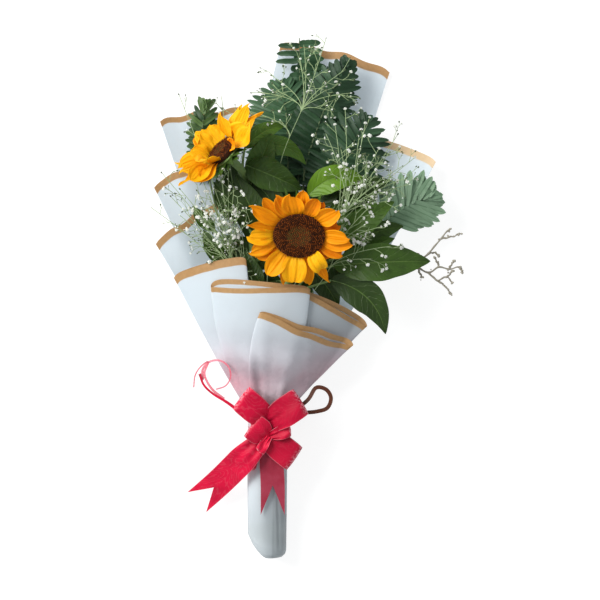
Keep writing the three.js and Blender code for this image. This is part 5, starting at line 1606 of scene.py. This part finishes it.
class BUNCH_OT_leafy_stems(bpy.types.Operator):
    """Builds the sunflowers' stems with their leaves, cups and bracts"""

    bl_idname = "bunch.leafy_stems"
    bl_label = "Leafy stems"

    def execute(self, context):
        greenery = context.scene.bunch_greenery
        finishes = [
            leaf_finish("leaf face", LEAF_DARK, LEAF_MIDDLE, LEAF_BRIGHT, 0.0),
            leaf_finish("leaf underside", LEAF_MIDDLE, (0.09, 0.17, 0.05), (0.2, 0.3, 0.08), 0.35),
            stem_finish("green stem", (0.06, 0.13, 0.03), (0.2, 0.3, 0.09)),
        ]
        for stem, head in zip(STEMS, HEADS):
            shape = Shape()
            rng = np.random.default_rng(head["seed"] + 5)
            build_leafy_stem(stem, head, shape, rng, greenery.leaf_columns, greenery.leaf_rows)
            shape.build(stem["name"] + "_and_leaves", [stem["name"]], finishes, "leaf_green", sharp=70)
        return {"FINISHED"}


class BUNCH_OT_ferns(bpy.types.Operator):
    """Builds the fern fronds"""

    bl_idname = "bunch.ferns"
    bl_label = "Fern fronds"

    def execute(self, context):
        skins = {
            "dark": fern_finish("fern leaflet", FERN_DARK, FERN_LIGHT),
            "young": fern_finish("young fern leaflet", FERN_DARK, FERN_YOUNG),
            "pale": fern_finish("pale fern leaflet", FERN_LIGHT, FERN_PALE),
        }
        stalk = stem_finish("fern stalk", (0.03, 0.07, 0.02), (0.12, 0.16, 0.06))
        for fern in FERNS:
            shape = Shape()
            rng = np.random.default_rng(fern["seed"])
            build_fern(fern, shape, rng, context.scene.bunch_greenery.leaflet_rows)
            finishes = [skins[fern["skin"]], stalk]
            shape.build(fern["name"] + "_leaflets", [fern["name"]], finishes, "fern_green", sharp=70)
        return {"FINISHED"}


class BUNCH_OT_sprays(bpy.types.Operator):
    """Builds the sprays of baby's breath"""

    bl_idname = "bunch.sprays"
    bl_label = "Baby's breath"

    def execute(self, context):
        finishes = [
            stem_finish("spray stem", BLOSSOM_STEM, (0.4, 0.5, 0.26)),
            blossom_finish(),
            plain_finish("closed buds", BLOSSOM_BUD, 0.7),
        ]
        for spray in SPRAYS:
            shape = Shape()
            build_spray(spray, shape, context.scene.bunch_greenery.spray_seed)
            shape.build(spray["name"] + "_spray", [spray["name"]], finishes, "blossom_white", sharp=80)
        return {"FINISHED"}


class BUNCH_OT_twig(bpy.types.Operator):
    """Builds the dry twig"""

    bl_idname = "bunch.twig"
    bl_label = "Dry twig"

    def execute(self, context):
        bark = stem_finish("twig bark", TWIG_BARK, TWIG_PALE, 0.85)
        nodule = plain_finish("twig nodules", (0.42, 0.39, 0.32), 0.9)
        shape = Shape()
        build_twig(shape)
        shape.build("forked_dry_twig", [TWIG["name"]], [bark, nodule], "twig_grey", sharp=80)
        return {"FINISHED"}


class BUNCH_OT_ribbon(bpy.types.Operator):
    """Builds the ribbon: its band, knot, loops, tails and pull ribbons"""

    bl_idname = "bunch.ribbon"
    bl_label = "Ribbon bow"

    def execute(self, context):
        ribbon = context.scene.bunch_ribbon
        finishes = [
            ribbon_finish("crimson ribbon", RIBBON_RED, RIBBON_DEEP, RIBBON_WEAR_AND_HIGHLIGHT),
            ribbon_finish("dusky ribbon", RIBBON_DUSKY, RIBBON_DEEP, (0.6, 0.2, 0.25), 0.12),
            # The right pull ribbon is the crimson ribbon with painted shade
            ribbon_finish("crimson pull ribbon in painted shade", RIBBON_CRIMSON_IN_SHADE, (0.04, 0.012, 0.008), (0.3, 0.12, 0.08)),
            ribbon_finish("pale pull ribbon", RIBBON_PALE, RIBBON_RED, RIBBON_WEAR_AND_HIGHLIGHT, 0.3),
        ]
        shape = Shape()
        build_band(shape, 0.0008)
        build_knot(shape)
        for loop in LOOPS:
            build_loop(shape, loop, ribbon.width, ribbon.thickness)
        for tail in TAILS:
            build_tail(shape, tail, ribbon.width, ribbon.thickness)
        for pull in PULLS:
            build_pull(shape, pull)
        shape.build("tied_ribbon_bow", ["ribbon_bow"], finishes, "ribbon_crimson", sharp=75)
        return {"FINISHED"}


class BUNCH_OT_stage(bpy.types.Operator):
    """Sets the floor, the light and the camera"""

    bl_idname = "bunch.stage"
    bl_label = "Stage"

    def execute(self, context):
        settings, scene = context.scene.bunch_stage, context.scene
        half, low = 1.5, -0.0002
        mesh = bpy.data.meshes.new("floor")
        corners = [(-half, -half, low), (half, -half, low), (half, half, low), (-half, half, low)]
        mesh.from_pydata(corners, [], [(0, 1, 2, 3)])
        floor = bpy.data.objects.new("floor", mesh)
        make = Finish("pale floor")
        looks = {"Base Color": (0.25, 0.25, 0.25), "Roughness": 0.9, "Emission Color": (1.0, 1.0, 1.0)}
        looks["Emission Strength"] = 0.82
        mesh.materials.append(make.done(make.node("BsdfPrincipled", 0, looks)))
        scene.collection.objects.link(floor)

        world = bpy.data.worlds.new("daylight")
        world.use_nodes = True
        background = world.node_tree.nodes["Background"]
        background.inputs["Color"].default_value = (0.95, 0.98, 1.0, 1.0)
        background.inputs["Strength"].default_value = settings.daylight
        scene.world = world

        lamp = bpy.data.lights.new("key light", "AREA")
        lamp.energy = settings.key
        lamp.size = 1.3
        lamp.color = (1.0, 0.985, 0.96)
        key = bpy.data.objects.new("key light", lamp)
        key.location = (-1.5, 0.9, 1.5)
        aim = unit(np.array([0.0, 0.0, 0.05]) - np.array(key.location))
        key.rotation_euler = (math.acos(-aim[2]), 0.0, math.atan2(-aim[0], aim[1]))
        scene.collection.objects.link(key)

        camera = bpy.data.cameras.new("camera")
        camera.sensor_width = 36.0
        camera.lens = camera.sensor_width * settings.distance / settings.frame_width
        eye = bpy.data.objects.new("camera", camera)
        eye.location = (-0.00825, -0.00165, 0.06 + settings.distance)
        scene.collection.objects.link(eye)
        scene.camera = eye
        scene.view_settings.view_transform = "Standard"
        return {"FINISHED"}


class BUNCH_PT_sidebar(bpy.types.Panel):
    """Lists the operators that build the bunch"""

    bl_idname = "BUNCH_PT_sidebar"
    bl_label = "Sunflower bunch"
    bl_space_type = "VIEW_3D"
    bl_region_type = "UI"
    bl_category = "Bunch"

    def draw(self, context):
        for group in SETTINGS:
            box = self.layout.box()
            values = getattr(context.scene, group)
            for name in values.__annotations__:
                box.prop(values, name)
        for operator in OPERATORS:
            self.layout.operator(operator.bl_idname)


SETTINGS = {
    "bunch_wrap": BunchWrapSettings,
    "bunch_flower": BunchFlowerSettings,
    "bunch_greenery": BunchGreenerySettings,
    "bunch_ribbon": BunchRibbonSettings,
    "bunch_stage": BunchStageSettings,
}
OPERATORS = (
    BUNCH_OT_wrap_paper,
    BUNCH_OT_handle,
    BUNCH_OT_sunflowers,
    BUNCH_OT_leafy_stems,
    BUNCH_OT_ferns,
    BUNCH_OT_sprays,
    BUNCH_OT_twig,
    BUNCH_OT_ribbon,
    BUNCH_OT_stage,
)


def register():
    for name, group in SETTINGS.items():
        bpy.utils.register_class(group)
        setattr(bpy.types.Scene, name, bpy.props.PointerProperty(type=group))
    for operator in OPERATORS:
        bpy.utils.register_class(operator)
    bpy.utils.register_class(BUNCH_PT_sidebar)


def unregister():
    bpy.utils.unregister_class(BUNCH_PT_sidebar)
    for operator in reversed(OPERATORS):
        bpy.utils.unregister_class(operator)
    for name, group in SETTINGS.items():
        delattr(bpy.types.Scene, name)
        bpy.utils.unregister_class(group)


def main():
    register()
    bpy.ops.bunch.wrap_paper()
    bpy.ops.bunch.handle()
    bpy.ops.bunch.sunflowers()
    bpy.ops.bunch.leafy_stems()
    bpy.ops.bunch.ferns()
    bpy.ops.bunch.sprays()
    bpy.ops.bunch.twig()
    bpy.ops.bunch.ribbon()
    bpy.ops.bunch.stage()


if __name__ == "__main__":
    main()
